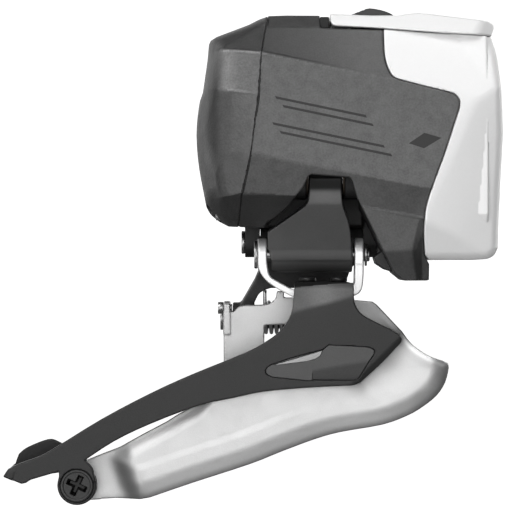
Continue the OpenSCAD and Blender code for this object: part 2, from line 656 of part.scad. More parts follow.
// Outer plate: a formed sheet with a rolled lower lip, stepped inboard at its tail
tail_plate_y = [-24.6, -24.6 + plate_t];
outer_plate_y = [arm_back_y + 0.02, arm_back_y + 0.02 + plate_t];
plate_nose = concat(
    [[9, -22.8], [13.2, -23.2], [14.1, -23.8]],
    curve([[19.8, -29.8], [22, -32.5], [25, -34.8], [28.8, -36.2], [30, -36.7]], 3),
    curve([[30.1, -37.6], [29.2, -41], [27.2, -44.1], [24.3, -46.4], [21, -48.3], [15.5, -50.3],
    [6.4, -51.9],
        [0.9, -53.4], [-6.4, -56.1], [-13.7, -59], [-26.3, -63.2], [-34, -66]], 3));
plate_outline = concat(plate_nose, [[-34, -51], [-30, -48], [-20, -42.5], [-5, -36], [4, -28]]);
tail_outline = concat([[-46.8, -66.6], [-51.5, -67.6], [-55.7, -64.2], [-55.2, -61.2], [-50.4, -59.2]],
    curve([[-49.4, -58.3], [-47, -57.3], [-44, -56]], 2), [[-43, -66.5]]);
module plate_step(x0, y0, x1, y1, top0, bottom0, top1, bottom1) hull() {
    box([x0 - 0.05, y0, bottom0], [x0 + 0.05, y0 + plate_t, top0]);
    box([x1 - 0.05, y1, bottom1], [x1 + 0.05, y1 + plate_t, top1]);
}
lip_depth = 2.6;
lip_t = 1.2;
lip_start = 20;
lip_span = [lip_start : len(plate_nose) - 1];
lip_back = [len(plate_nose) - 1 : -1 : lip_start];
function lip_inside(i) = let (t = unit(clamp_at(plate_nose, i + 1) - clamp_at(plate_nose, i - 1)))
    plate_nose[i] + lip_t * [t[1], -t[0]];
module outer_cage_plate() color("#c9cacc") difference() {
    union() {
        xz_prism(plate_outline, outer_plate_y[0], outer_plate_y[1]);
        xz_prism(tail_outline, tail_plate_y[0], tail_plate_y[1]);
        plate_step(-43.05, tail_plate_y[0], -39.6, outer_plate_y[0] + 0.4, -55.6, -66.5, -54, -66.8);
        plate_step(-39.6, outer_plate_y[0] + 0.4, -33.95, outer_plate_y[0], -54, -66.8, -51, -66);
        xz_prism(concat([for (i = lip_span) plate_nose[i]], [for (i = lip_back) lip_inside(i)]),
            outer_plate_y[0], outer_plate_y[1] + lip_depth);
    }
    y_cyl(2 + snug, -60, 0, tail_at);
}

// Inner plate: cage side, strap up to the fork, and two flanges that hold the lower pin
strap_y = [inner_plate_y - plate_t, inner_plate_y];
inner_tail_y = [-17.6, -17.6 + plate_t];
left_flange = [-19.6, -18.1];
right_flange = [7.1, 8.6];
inner_outline = concat(
    [[-19.6, -25.9], [-17.4, -25.7]], curve([[-16.2, -24.6], [-14.4, -24.2], [-10.4, -24.1],
    [-8.6, -23.5], [-7.9, -22.6]], 3),
    [[-7.6, web_top - 0.4], [8.6, web_top - 0.4], [8.6, -24.4], [13, -26.4]],
    curve([[18.6, -31], [22, -35], [26, -38], [26.4, -40], [24, -43.6], [15, -48], [1, -51.6],
    [-13, -57.2], [-26, -61.6], [-36, -65]], 3),
    [[-36, -54.4], [-30, -50.6], [-24, -46.4], [-19.6, -41.6]]);
inner_window = [[-10.4, -29.2], [-10.2, -28.8], [-0.4, -28.8], [-0.4, -37.6], [-9.8, -37.6],
    [-10.4, -37]];
inner_tail_outline = [[-44, -65.6], [-47, -67.4], [-51.5, -67.7], [-55.6, -65.4], [-55.4, -62.4],
    [-53, -60], [-49.5, -58.6], [-44, -57]];
module p4_flange(x) {
    x_cyl(3.7, x[0], x[1], P4);
    box([x[0], strap_y[0], P4[1] - 3.7], [x[1], P4[0], P4[1] + 3.2]);
}
module inner_cage_plate() color("#bfc0c2") difference() {
    union() {
        difference() {
            xz_prism(inner_outline, strap_y[0], strap_y[1]);
            xz_prism(inner_window, -20, 0);
        }
        p4_flange(left_flange);
        p4_flange(right_flange);
        xz_prism(inner_tail_outline, inner_tail_y[0], inner_tail_y[1]);
        plate_step(-44, inner_tail_y[0], -35.95, strap_y[0], -57, -65.6, -54.4, -65);
        box([-3, web_y[1] + 0.02, web_bottom - 1], [8, web_y[1] + 1.2, web_top - 0.4]);
        box([-3, strap_y[0], web_bottom - 1], [8, web_y[1] + 1.2, web_bottom - 0.02]);
    }
    box([-6, web_y[0], web_bottom - 0.02], [8.62, web_y[1] + 0.02, web_top + 1]);
    x_cyl(pin_r + snug, -30, 30, P4);
    x_cyl(0.9 + snug, -30, -15, stop_at);
    y_cyl(1.7 + snug, -60, 0, tail_at);
}

stop_at = [-8.9, -24.9];
module stop_screw() color("#cfd0d2") difference() {
    union() {
        x_cyl(1.35, left_flange[0] - 1.3, left_flange[0] - 0.02, stop_at);
        x_cyl(0.9, left_flange[0] - 0.2, left_flange[1] + 0.4, stop_at);
    }
    translate([left_flange[0] - 1.4, stop_at[0], stop_at[1]]) rotate([0, 90, 0]) cylinder(r = 0.7,
    h = 0.9, $fn = 6);
}

tail_head_y = arm_face_y + 2;
// Cross-recessed screw that closes the cage at its tail
module tail_screw() color("#2a2a2b") difference() {
    union() {
        y_cyl(3.65, arm_face_y + 0.4, tail_head_y - 0.02, tail_at);
        y_cyl(2, arm_face_y + 1, -18, tail_at);
        y_cyl(1.7, -19, inner_tail_y[1] + 0.6, tail_at);
    }
    translate([tail_at[0], arm_face_y, tail_at[1]]) rotate([0, 25, 0]) {
        box([-2.1, -1, -0.55], [2.1, 1.5, 0.55]);
        box([-0.55, -1, -2.1], [0.55, 1.5, 2.1]);
    }
}
module tail_spacer() color("#8b8c8e") difference() {
    y_cyl(3, tail_plate_y[1] + 0.02, inner_tail_y[0] - 0.02, tail_at);
    y_cyl(2 + snug, -40, 0, tail_at);
}

module outer_link_pin() headed_pin(left_ear[0] - 0.02, right_ear[1] + 1.4, 3.1, P2);
module cage_pin() headed_pin(left_flange[0] - 0.02, right_flange[1] + 1.3, 2.9, P4);
module cage_pin_clips() {
    clip(right_ear[1] + 1.4, P2);
    clip(right_flange[1] + 1.3, P4);
}
bush_x = [left_leg[1] + 0.15, right_leg[0] - 0.15];
module spring_bush() color("#1d1d1e") difference() {
    x_cyl(2.6, bush_x[0], bush_x[1], P4);
    x_cyl(pin_r + snug, -30, 30, P4);
}

// Torsion spring round the bush; one leg reaches up beside the inner link, the other bears on the strap
wire_r = 0.42;
coil_r = 3.5;
coil_turns = 6;
coil_pitch = 1.2;
coil_start = -10.3;
steps_per_turn = 16;
coil_path = [for (i = [0 : coil_turns * steps_per_turn])
    let (a = 180 + 360 * i / steps_per_turn)
    [coil_start + coil_pitch * i / steps_per_turn, P4[0] + coil_r * cos(a), P4[1] + coil_r * sin(a)]];
upper_leg = [for (h = [6.2, 4.2, 2.2]) [coil_start, P4[0] - coil_r, P4[1] + h]];
last_x = coil_start + coil_pitch * coil_turns;
lower_leg = [for (h = [1.2, 2.6]) [last_x, P4[0] - coil_r, P4[1] - h]];
module return_spring() color("#a9aaac") tube(concat(upper_leg, coil_path, lower_leg), wire_r);

// ---- battery ----

lid_outline = [[3.6, 44], [3.45, 38.8], [4.3, 37.7], [15.7, 36.85], [40.8, 35.3], [44, 36], [44, 44]];
battery_outline = concat(
    [for (i = [0 : len(bay_edge) - 4]) bay_edge[i] + [bay_gap, 0.25]],
    [[26.2, -14], [44, -14], [44, 35], [40.8, 35.15], [15.85, 36.7]]);
cell_at = [[25, -18.2], [33, -18.2]];
cell_cavity = [[19.4, -27.4, -11.6], [37.4, -9, 40]];
latch_axis = [17.4, 38.3];     // [x, z] of the latch's hinge
latch_slot = [[8, -20.9, 35], [19.4, -15.1, 45]];

module battery_case() color("#e8e9ea") difference() {
    intersection() {
        body_solid();
        union() {
            xz_prism(battery_outline, -60, 20);
            yz_prism(core_outline, core_x[0], core_x[1]);
        }
        xz_prism([[10, -14], [44, -14], [44, 35], [40.8, 35.15], [15.85, 36.7], [10, 37]], -60, 20);
    }
    intersection() {
        box(cell_cavity[0], cell_cavity[1]);
        body_solid(wall);
    }
    box([core_x[0] - 1, -24, 16], [18.2, -12, 24]);
    for (p = pins_at) x_cyl(1 + snug, 10, 20, p);
}
module battery_lid() color("#eff0f1") difference() {
    intersection() {
        body_solid();
        xz_prism(lid_outline, -60, 20);
    }
    box(latch_slot[0], latch_slot[1]);
    y_cyl(0.8 + snug, -23, -13, latch_axis);
}
cell_bottom = -10.8;
cell_height = 40;
module battery_cells() color("#3d6f9e") for (p = cell_at) translate([p[0], p[1], cell_bottom]) {
    cylinder(r = cell_r, h = cell_height);
    cylinder(r = cell_r * 0.4, h = cell_height + 0.9);
}
module battery_terminals() color("#c9a24a") for (p = pins_at) x_cyl(1, 18.25, 20.2, p);
module latch_pin() color("#c9cacc") y_cyl(0.8, -22.9, -13.1, latch_axis);

// Thumb lever on top of the battery
latch_outline = concat([[8.5, 38.4], [8.5, 40.2]], curve([[8.9, 40.35], [10.6, 41], [11.9, 41.5],
    [12.9, 41.7], [15.2, 41.35], [17.2, 40.7], [18.5, 39.9]], 3),
    [[18.9, 38.9], [18.9, 38], [18.2, 37.1], [16.6, 37.1], [15.6, 37.9], [10.2, 37.9], [10.2, 37.2],
    [8.9, 37.2]]);
module battery_latch() color("#1e1e1f") difference() {
    xz_prism(latch_outline, latch_slot[0][1] + 0.2, latch_slot[1][1] - 0.2);
    y_cyl(0.8 + run_gap, -30, 0, latch_axis);
    for (x = [9.6, 10.7, 11.8]) y_cyl(0.3, -30, 0, [x, 40.9 + (x - 9.6) * 0.42]);
}

// Button on top of the housing, held in by its flange
button_top = 39.8;
button_foot = 36.2;
module mode_button() color("#2d2e30") translate([button_at[0], button_at[1], 0]) {
    translate([0, 0, button_foot]) cylinder(r = button_r, h = button_top - button_foot);
    translate([0, 0, button_foot]) cylinder(r = button_r + 0.6, h = 1);
}

main_housing();
rear_cap();
housing_gasket();
cap_screws();
knuckle();
knuckle_screws();
shaft_bushes();
shaft_seal();
inner_link_pin();
inner_pin_clips();
gearbox_frame();
gear_pins();
motor_can();
circuit_board();
board_chips();
contact_block();
contact_pins();
status_lens();
outer_link();
drive_shaft();
sector_gear();
inner_link();
cage_fork();
cage_rivets();
outer_cage_arm();
arm_inlay();
outer_cage_plate();
inner_cage_plate();
tail_screw();
tail_spacer();
outer_link_pin();
cage_pin();
cage_pin_clips();
spring_bush();
return_spring();
stop_screw();
gear_b();
gear_a();
motor_shaft();
motor_pinion();
battery_case();
battery_lid();
battery_cells();
battery_terminals();
latch_pin();
battery_latch();
mode_button();
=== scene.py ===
"""Looks of a bicycle's electric front derailleur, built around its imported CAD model.

Shapes are written in millimetres: +X is the bicycle's front, +Y is towards the frame, +Z is up,
and the origin is the mouth of the mounting hole. A shape is a function of (x, y, z) that is negative
inside the piece and grows with the distance outside it, and surface() turns it into a mesh in metres.
"""

import math

import bpy
import numpy as np
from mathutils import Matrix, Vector


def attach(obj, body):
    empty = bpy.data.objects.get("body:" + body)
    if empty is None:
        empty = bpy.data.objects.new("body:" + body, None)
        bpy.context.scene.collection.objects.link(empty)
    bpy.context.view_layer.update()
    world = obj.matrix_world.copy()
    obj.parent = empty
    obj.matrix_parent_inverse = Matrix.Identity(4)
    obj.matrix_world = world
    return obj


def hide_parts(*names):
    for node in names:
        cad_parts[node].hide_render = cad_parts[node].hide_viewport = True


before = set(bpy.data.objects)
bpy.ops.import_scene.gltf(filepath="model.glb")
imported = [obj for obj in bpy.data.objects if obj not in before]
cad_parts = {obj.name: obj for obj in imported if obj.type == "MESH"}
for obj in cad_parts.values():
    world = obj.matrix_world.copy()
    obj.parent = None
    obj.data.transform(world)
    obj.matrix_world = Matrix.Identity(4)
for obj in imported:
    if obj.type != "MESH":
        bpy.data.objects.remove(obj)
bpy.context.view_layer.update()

MM = 0.001
COARSE = 1.0

# ---- sizes shared with the CAD model ----

# Pivots are [y, z]: P1 drive shaft, P2 outer link's lower pin, P3 inner link's pin, P4 its lower pins
LINK_LENGTH = 17.4
LINK_LEAN = math.radians(12)
P1 = (-20.0, 4.1)
P3 = (-7.0, -10.1)
REACH = (LINK_LENGTH * math.sin(LINK_LEAN), -LINK_LENGTH * math.cos(LINK_LEAN))
P2 = (P1[0] + REACH[0], P1[1] + REACH[1])
P4 = (P3[0] + REACH[0], P3[1] + REACH[1])
PIN_R = 1.5
SHAFT_R = 2.0
SNUG = 0.02              # clearance of a close hole, on the radius
THROUGH = 30             # far enough along an axis to pass the whole object
BOTTOM = -60             # below every shape, for cuts that are open underneath
ARM_FACE_Y = -29.7
ARM_T = 2.2              # thickness of the black outer arm
PLATE_T = 1.5            # thickness of the silver cage plates
FLANGE_TOP = -18.9
WEB_TOP = FLANGE_TOP - 1.8
WEB_BOTTOM = WEB_TOP - 1.8
TAIL_AT = (-51.5, -63.4)
TAIL_SCREW_R = 2.0
TAIL_HEAD_R = 3.65
RIVETS = [(-0.9, -20.5), (6.0, -20.5)]
RIVET_R = 1.2


# ---- shape functions ----


def meet(a, b, r):
    """What is inside both shapes, with an edge of radius r where they cross"""
    return np.minimum(-r, np.maximum(a, b)) + np.hypot(np.maximum(a + r, 0), np.maximum(b + r, 0))


def join(a, b, r):
    """Both shapes together, with a fillet of radius r between them"""
    return np.maximum(r, np.minimum(a, b)) - np.hypot(np.minimum(a - r, 0), np.minimum(b - r, 0))


def cut(a, b, r):
    """Shape a without shape b"""
    return meet(a, -b, r)


def slab(v, low, high):
    return np.maximum(low - v, v - high)


def block(x, y, z, low, high, r):
    """Box between two corners, with rounded edges"""
    flat = meet(slab(x, low[0], high[0]), slab(z, low[2], high[2]), r)
    return meet(flat, slab(y, low[1], high[1]), r)


def rod_x(x, y, z, radius, x0, x1, at, r=0.0):
    """Cylinder along X about the axis at (y, z)"""
    return meet(np.hypot(y - at[0], z - at[1]) - radius, slab(x, x0, x1), r)


def rod_y(x, y, z, radius, y0, y1, at, r=0.0):
    """Cylinder along Y about the axis at (x, z)"""
    return meet(np.hypot(x - at[0], z - at[1]) - radius, slab(y, y0, y1), r)


def path_distance(points, u, v):
    """Distance in a plane from (u, v) to an open line of points"""
    nearest = np.float32(1e12)
    for (u0, v0), (u1, v1) in zip(points, points[1:]):
        du = u1 - u0
        dv = v1 - v0
        along = np.clip(((u - u0) * du + (v - v0) * dv) / (du * du + dv * dv), 0, 1)
        nearest = np.minimum(nearest, (u - u0 - along * du) ** 2 + (v - v0 - along * dv) ** 2)
    return np.sqrt(nearest)


def outline(points, u, v):
    """Distance in a plane from (u, v) to a closed outline, negative inside it"""
    inside = np.zeros(np.broadcast(u, v).shape, bool)
    for (u0, v0), (u1, v1) in zip(points, points[1:] + points[:1]):
        if v0 != v1:
            spans = (v0 <= v) != (v1 <= v)
            inside = inside ^ (spans & (u < u0 + (v - v0) * (u1 - u0) / (v1 - v0)))
    return np.where(inside, -1, 1) * path_distance(points + points[:1], u, v)


def curve(points, steps=3):
    """Smooth line through points (Catmull-Rom), with its ends kept"""
    line = []
    last = len(points) - 1
    for i in range(last):
        a, b, c, d = (np.array(points[min(max(k, 0), last)], float) for k in (i - 1, i, i + 1, i + 2))
        for k in range(steps):
            t = k / steps
            bend = (2 * a - 5 * b + 4 * c - d) * t * t + (3 * b - a - 3 * c + d) * t**3
            line.append(tuple(0.5 * (2 * b + (c - a) * t + bend)))
    return line + [tuple(points[last])]


def facet(a, b, c, centre):
    """Plane through three points, facing away from centre: its normal and its offset"""
    a, b, c, centre = (np.array(p, float) for p in (a, b, c, centre))
    normal = np.cross(b - a, c - a)
    normal /= np.linalg.norm(normal)
    if normal @ (centre - a) > 0:
        normal = -normal
    return normal[0], normal[1], normal[2], normal @ a


def over(plane, x, y, z):
    return plane[0] * x + plane[1] * y + plane[2] * z - plane[3]


def faceted(planes, x, y, z, r):
    """What is inside every plane, with ridges of radius r"""
    shape = over(planes[0], x, y, z)
    for plane in planes[1:]:
        shape = meet(shape, over(plane, x, y, z), r)
    return shape


def bead(x, y, z, start, end, radius):
    """Round rib from start to end"""
    a = np.array(start, float)
    span = np.array(end, float) - a
    along = ((x - a[0]) * span[0] + (y - a[1]) * span[1] + (z - a[2]) * span[2]) / (span @ span)
    along = np.clip(along, 0, 1)
    away = (x - a[0] - along * span[0]) ** 2 + (y - a[1] - along * span[1]) ** 2
    return np.sqrt(away + (z - a[2] - along * span[2]) ** 2) - radius * (1 - 0.6 * along)


def in_link(y, z, pivot):
    """Coordinates across and along a link, from its upper pivot"""
    c = math.cos(LINK_LEAN)
    s = math.sin(LINK_LEAN)
    return (y - pivot[0]) * c + (z - pivot[1]) * s, (z - pivot[1]) * c - (y - pivot[0]) * s


def smooth(t):
    """Rises gently from 0 to 1 while t goes from 0 to 1"""
    t = np.clip(t, 0, 1)
    return t * t * (3 - 2 * t)


def bored(shape, x, y, z, radius, at, r=0.1):
    """Shape with a hole all the way through it along X"""
    return cut(shape, rod_x(x, y, z, radius, -THROUGH, THROUGH, at), r)


def eyelet(x, y, z, radius, span, at, low, high, r):
    """Round eye along X, with a neck between two corners [y, z]"""
    neck = block(x, y, z, (span[0], *low), (span[1], *high), r)
    return np.minimum(rod_x(x, y, z, radius, *span, at, r), neck)


def hump(t):
    """1 where t is 0, fading to 0 on both sides"""
    return np.exp(-(t**2))


def rivet_holes(x, y, shape):
    for u, v in RIVETS:
        shape = cut(shape, np.hypot(x - u, y - v) - RIVET_R - SNUG, 0.05)
    return shape


def tail_hole(x, y, z, shape):
    """Shape with the hole that the tail screw passes through"""
    return cut(shape, rod_y(x, y, z, TAIL_SCREW_R + SNUG, BOTTOM, 0, TAIL_AT), 0.1)


# ---- from shape to mesh ----

CORNERS = [(i, j, k) for i in (0, 1) for j in (0, 1) for k in (0, 1)]
EDGES = [(a, b) for a in CORNERS for b in CORNERS if a < b and sum(p != q for p, q in zip(a, b)) == 1]


def slope(shape, points, step=0.02):
    """Values of a shape at points, and its gradient there"""
    x, y, z = points.T.astype(np.float32)
    here = shape(x, y, z)
    beside = [shape(x + step, y, z), shape(x, y + step, z), shape(x, y, z + step)]
    return here, np.stack([side - here for side in beside], axis=1) / step


def net(shape, low, high, cell):
    """Points and four-sided faces on the surface of a shape, one point in each cell that it crosses"""
    axes = [np.arange(a - 2 * cell, b + 3 * cell, cell, dtype=np.float32) for a, b in zip(low, high)]
    size = tuple(len(a) for a in axes)
    field = shape(axes[0][:, None, None], axes[1][None, :, None], axes[2][None, None, :])
    field = np.ascontiguousarray(np.broadcast_to(field, size), dtype=np.float32)
    inside = field < 0
    filled = np.zeros(tuple(n - 1 for n in size), np.uint8)
    for corner in CORNERS:
        filled += inside[tuple(slice(c, c + n - 1) for c, n in zip(corner, size))]
    crossed = (filled > 0) & (filled < 8)
    cells = np.argwhere(crossed)
    number = np.full(crossed.shape, -1, np.int64)
    number[crossed] = np.arange(len(cells))
    total = np.zeros((len(cells), 3))
    count = np.zeros(len(cells))
    for a, b in EDGES:
        at_a = field[tuple((cells + a).T)]
        at_b = field[tuple((cells + b).T)]
        split = (at_a < 0) != (at_b < 0)
        share = np.where(split, at_a / np.where(split, at_a - at_b, 1), 0)
        total += np.where(split[:, None], np.array(a) + share[:, None] * (np.array(b) - a), 0)
        count += split
    start = np.array([a[0] for a in axes])
    points = start + (cells + total / count[:, None]) * cell
    faces = []
    for axis in range(3):
        u = (axis + 1) % 3
        v = (axis + 2) % 3
        near = [slice(None)] * 3
        near[axis] = slice(0, -1)
        next_one = [slice(None)] * 3
        next_one[axis] = slice(1, None)
        lower = inside[tuple(near)]
        edges = np.argwhere(lower != inside[tuple(next_one)])
        edges = edges[(edges[:, u] > 0) & (edges[:, v] > 0)]
        edges = edges[(edges[:, u] < size[u] - 1) & (edges[:, v] < size[v] - 1)]
        du = np.eye(3, dtype=int)[u]
        dv = np.eye(3, dtype=int)[v]
        quads = np.stack([number[tuple((edges - d).T)] for d in (0 * du, du, du + dv, dv)], axis=1)
        outward = lower[tuple(edges.T)]
        faces.append(np.where(outward[:, None], quads, quads[:, ::-1]))
    return points, np.concatenate(faces)


def add_mesh(name, points, faces, rounded=True):
    """Object from points in millimetres and lists of corners"""
    mesh = bpy.data.meshes.new(name)
    mesh.from_pydata((np.asarray(points) * MM).tolist(), [], faces)
    mesh.polygons.foreach_set("use_smooth", [rounded] * len(mesh.polygons))
    obj = bpy.data.objects.new(name, mesh)
    bpy.context.scene.collection.objects.link(obj)
    return obj


def ring_faces(rings, sides):
    """Faces between neighbouring rings of points, with the same number of points in each ring"""
    faces = []
    for i in range(rings - 1):
        for k in range(sides):
            a = i * sides + k
            b = i * sides + (k + 1) % sides
            faces.append([a, b, b + sides, a + sides])
    return faces


def applied(obj):
    """Turns an object's modifiers into its mesh"""
    made = obj.evaluated_get(bpy.context.evaluated_depsgraph_get())
    mesh = bpy.data.meshes.new_from_object(made)
    obj.modifiers.clear()
    obj.data = mesh
    return obj


def surface(name, shape, low, high, cell, keep=1.0):
    """Piece with the surface of a shape between two corners; keep is the share of triangles left"""
    cell = cell * COARSE
    points, faces = net(shape, low, high, cell)
    for _ in range(2):
        value, lean = slope(shape, points)
        off = value / np.maximum((lean**2).sum(axis=1), 0.2)
        points = points - np.clip(off, -0.5 * cell, 0.5 * cell)[:, None] * lean
    obj = add_mesh(name, points, faces.tolist())
    if keep < 1:
        thin = obj.modifiers.new("thin", "DECIMATE")
        thin.ratio = keep
        applied(obj)
    mesh = obj.data
    mesh.polygons.foreach_set("use_smooth", [True] * len(mesh.polygons))
    places = np.zeros(len(mesh.vertices) * 3)
    mesh.vertices.foreach_get("co", places)
    lean = slope(shape, places.reshape(-1, 3) / MM, 0.04)[1]
    lean /= np.maximum(np.linalg.norm(lean, axis=1), 1e-6)[:, None]
    mesh.normals_split_custom_set_from_vertices(lean.tolist())
    return obj


def add_painted_light(obj, painted_light):
    """Stores the painted light and shade at each of the mesh's points, as how light the colour is there"""
    places = np.zeros(len(obj.data.vertices) * 3)
    obj.data.vertices.foreach_get("co", places)
    values = np.clip(painted_light(*(places.reshape(-1, 3).T / MM)), 0, 8)
    obj.data.attributes.new("painted_light", "FLOAT", "POINT").data.foreach_set("value", values.astype(np.float32))


def place(obj, body, slot, material, *nodes):
    """Gives a piece its body, its material and the CAD nodes that it stands for; slot is not used"""
    obj.data.materials.clear()
    obj.data.materials.append(material)
    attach(obj, body)
    if nodes:
        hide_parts(*nodes)


def make_piece(shape, name, low, high, cell, keep, finish, nodes=(), painted_light=None):
    """Finished piece: its surface, its painted light and shade if it has any, and its body and material, from
    finish, which holds body, slot and material
    """
    obj = surface(name, shape, low, high, cell, keep)
    if painted_light:
        add_painted_light(obj, painted_light)
    place(obj, *finish, *nodes)


# ---- materials ----


def link(tree, a, output, b, socket):
    tree.links.new(a.outputs[output], b.inputs[socket])


def noise(tree, coordinates, scale, detail=3.0, stretch=(1, 1, 1)):
    """Noise pattern in the piece's own space; scale is in patches per metre"""
    mapping = tree.nodes.new("ShaderNodeMapping")
    mapping.inputs["Scale"].default_value = stretch
    link(tree, coordinates, "Object", mapping, "Vector")
    pattern = tree.nodes.new("ShaderNodeTexNoise")
    pattern.inputs["Scale"].default_value = scale
    pattern.inputs["Detail"].default_value = detail
    link(tree, mapping, "Vector", pattern, "Vector")
    return pattern


def spread(tree, pattern, low, high):
    """Maps a pattern's middle half to the range low to high"""
    remap = tree.nodes.new("ShaderNodeMapRange")
    remap.inputs["From Min"].default_value = 0.3
    remap.inputs["From Max"].default_value = 0.7
    remap.inputs["To Min"].default_value = low
    remap.inputs["To Max"].default_value = high
    link(tree, pattern, "Fac", remap, "Value")
    return remap


def material(name, colour, roughness, metallic=0.0, vary=0.15, grain=2500, relief=0.02, patch=220,
             stretch=(1, 1, 1), sockets=(), painted_light=None):
    """Surface with patches and fine grain in its colour, roughness and relief.

    colour is red, green and blue, or one number for a grey, and vary is the share that it changes by.
    grain and patch are patterns per metre, and relief is the depth of the grain in millimetres.
    The last argument names a mesh attribute of painted light and shade that the colour is multiplied by.
    """
    if isinstance(colour, float):
        colour = (colour, colour, colour)
    made = bpy.data.materials.new(name)
    made.use_nodes = True
    tree = made.node_tree
    shader = tree.nodes["Principled BSDF"]
    shader.inputs["Metallic"].default_value = metallic
    for socket, value in sockets:
        shader.inputs[socket].default_value = value
    coordinates = tree.nodes.new("ShaderNodeTexCoord")
    fine = noise(tree, coordinates, grain, 2.0, stretch)
    broad = noise(tree, coordinates, patch, 4.0, stretch)
    blend = tree.nodes.new("ShaderNodeMix")
    blend.data_type = "RGBA"
    blend.inputs["A"].default_value = (*[c * (1 - vary) for c in colour], 1)
    blend.inputs["B"].default_value = (*[min(1, c * (1 + vary)) for c in colour], 1)
    both = tree.nodes.new("ShaderNodeMath")
    both.operation = "ADD"
    link(tree, spread(tree, fine, 0, 0.5), "Result", both, 0)
    link(tree, spread(tree, broad, 0, 0.5), "Result", both, 1)
    link(tree, both, "Value", blend, "Factor")
    # The colour is multiplied by the painted light and shade stored on the mesh
    if painted_light:
        given = tree.nodes.new("ShaderNodeAttribute")
        given.attribute_name = painted_light
        painted_colour = tree.nodes.new("ShaderNodeVectorMath")
        painted_colour.operation = "SCALE"
        tree.links.new(blend.outputs["Result"], painted_colour.inputs["Vector"])
        link(tree, given, "Fac", painted_colour, "Scale")
        link(tree, painted_colour, "Vector", shader, "Base Color")
    else:
        tree.links.new(blend.outputs["Result"], shader.inputs["Base Color"])
    link(tree, spread(tree, broad, roughness - 0.04, roughness + 0.04), "Result", shader, "Roughness")
    bump = tree.nodes.new("ShaderNodeBump")
    bump.inputs["Strength"].default_value = 0.6
    bump.inputs["Distance"].default_value = relief * MM
    link(tree, fine, "Fac", bump, "Height")
    link(tree, bump, "Normal", shader, "Normal")
    return made


# The charcoal, link, arm, blasted silver and tail screw materials take painted light and shade from their
# pieces
CHARCOAL = material("charcoal_plastic", 0.088, 0.48, vary=0.34, grain=2600, relief=0.06, patch=420,
                    painted_light="painted_light")
CAP_CHARCOAL = material("cap_plastic", 0.088, 0.42, vary=0.3, grain=2200, relief=0.09, patch=500,
                        painted_light="painted_light")
GASKET = material("gasket_rubber", 0.012, 0.7, vary=0.2)
WHITE = material("battery_white", 0.86, 0.42, vary=0.015, grain=1800, relief=0.015, patch=90,
                 sockets=[("Coat Weight", 0.15), ("Coat Roughness", 0.3)])
KNUCKLE_BLACK = material("knuckle_black", 0.007, 0.55, vary=0.25, grain=3000, relief=0.03)
LINK_GREY = material("link_anodised", 0.075, 0.42, 0.35, vary=0.1, grain=3500, painted_light="painted_light")
INNER_BLACK = material("inner_link_black", 0.03, 0.5, 0.2, vary=0.3, grain=2400, relief=0.05)
ARM_BLACK = material("arm_black", 0.021, 0.4, vary=0.2, grain=3200, relief=0.04, painted_light="painted_light",
                     sockets=[("Specular IOR Level", 0.3)])
INLAY_GREY = material("inlay_grey", 0.06, 0.42, 0.3, vary=0.12, grain=3200, relief=0.03)
BRIGHT_CUT = material("bright_cut", 0.3, 0.42, 0.7, vary=0.06, grain=1400, stretch=(1, 1, 5))
BLASTED = material("blasted_silver", 0.62, 0.5, 1.0, vary=0.05, grain=4200, relief=0.03, patch=300,
                   painted_light="painted_light")
# Darker copy of the blasted silver for the inner plate: painted shade for its place behind the outer plate
# and the arm
SHADED_BLASTED = material("blasted_silver_shaded", 0.5, 0.46, 1.0, vary=0.08, grain=4200, relief=0.03,
                         patch=300)
POLISHED = material("polished_silver", 0.86, 0.42, 0.75, vary=0.06, grain=2400, relief=0.008,
                    patch=500)
PIN_STEEL = material("pin_steel", 0.36, 0.3, 1.0, vary=0.1, grain=2600, relief=0.01)
SCREW_STEEL = material("screw_steel", 0.5, 0.3, 1.0, vary=0.12, grain=2600)
SCREW_BLACK = material("screw_black", 0.018, 0.34, 0.5, vary=0.25, grain=2600)
TAIL_SCREW_BLACK = material("tail_screw_black", 0.018, 0.34, 0.3, vary=0.25, grain=2600,
                            painted_light="painted_light")
CLIP_STEEL = material("clip_steel", 0.32, 0.35, 1.0, vary=0.15)
SPRING_STEEL = material("spring_steel", 0.42, 0.3, 1.0, vary=0.15, grain=3000, relief=0.01)
GEARBOX_STEEL = material("gearbox_steel", 0.22, 0.42, 1.0, vary=0.15, stretch=(1, 6, 1))
MOTOR_STEEL = material("motor_steel", 0.5, 0.32, 1.0, vary=0.1, stretch=(5, 1, 1))
BRASS = material("brass", (0.62, 0.42, 0.14), 0.3, 1.0, vary=0.12)
BRONZE = material("oil_bronze", (0.035, 0.026, 0.018), 0.45, 0.6, vary=0.2)
NYLON = material("nylon", (0.68, 0.65, 0.58), 0.42, vary=0.04, relief=0.01)
BOARD = material("board_green", (0.012, 0.09, 0.03), 0.35, vary=0.25, grain=1200, patch=900)
CHIP = material("chip_black", 0.012, 0.5, vary=0.3)
CONTACT_BLACK = material("contact_black", 0.02, 0.42, vary=0.2)
GOLD = material("contact_gold", (0.75, 0.5, 0.16), 0.22, 1.0, vary=0.06)
CELL_BLUE = material("cell_wrap", (0.03, 0.12, 0.32), 0.3, vary=0.08)
LATCH_BLACK = material("latch_black", 0.02, 0.42, vary=0.25, grain=2600, relief=0.04)
BUTTON_BLACK = material("button_black", 0.03, 0.55, vary=0.2, grain=2600, relief=0.05)
LENS = material("lens_clear", (0.8, 0.88, 0.86), 0.1, vary=0.03, relief=0.004,
                sockets=[("Transmission Weight", 0.85), ("IOR", 1.49)])
INK = material("dark_ink", 0.008, 0.4, vary=0.2, relief=0.005)


# ---- drive unit shells ----

BODY_CENTRE = (5, -18, 14)


def body_facet(a, b, c):
    return facet(a, b, c, BODY_CENTRE)


RIDGE = 0.2              # radius of the ridges between facets
RIDGE_HIGHLIGHT_WIDTH = 0.26        # half the width of the painted highlight along a ridge
LINE1_SLOPE = -0.2       # fall of the upper ridge towards the front
SHOULDER_Z = 37.25       # height of the shoulder under the top panel
SHOULDER_Y = -25.8
LINE1_Y = -31.0
LINE3_Y = -33.6

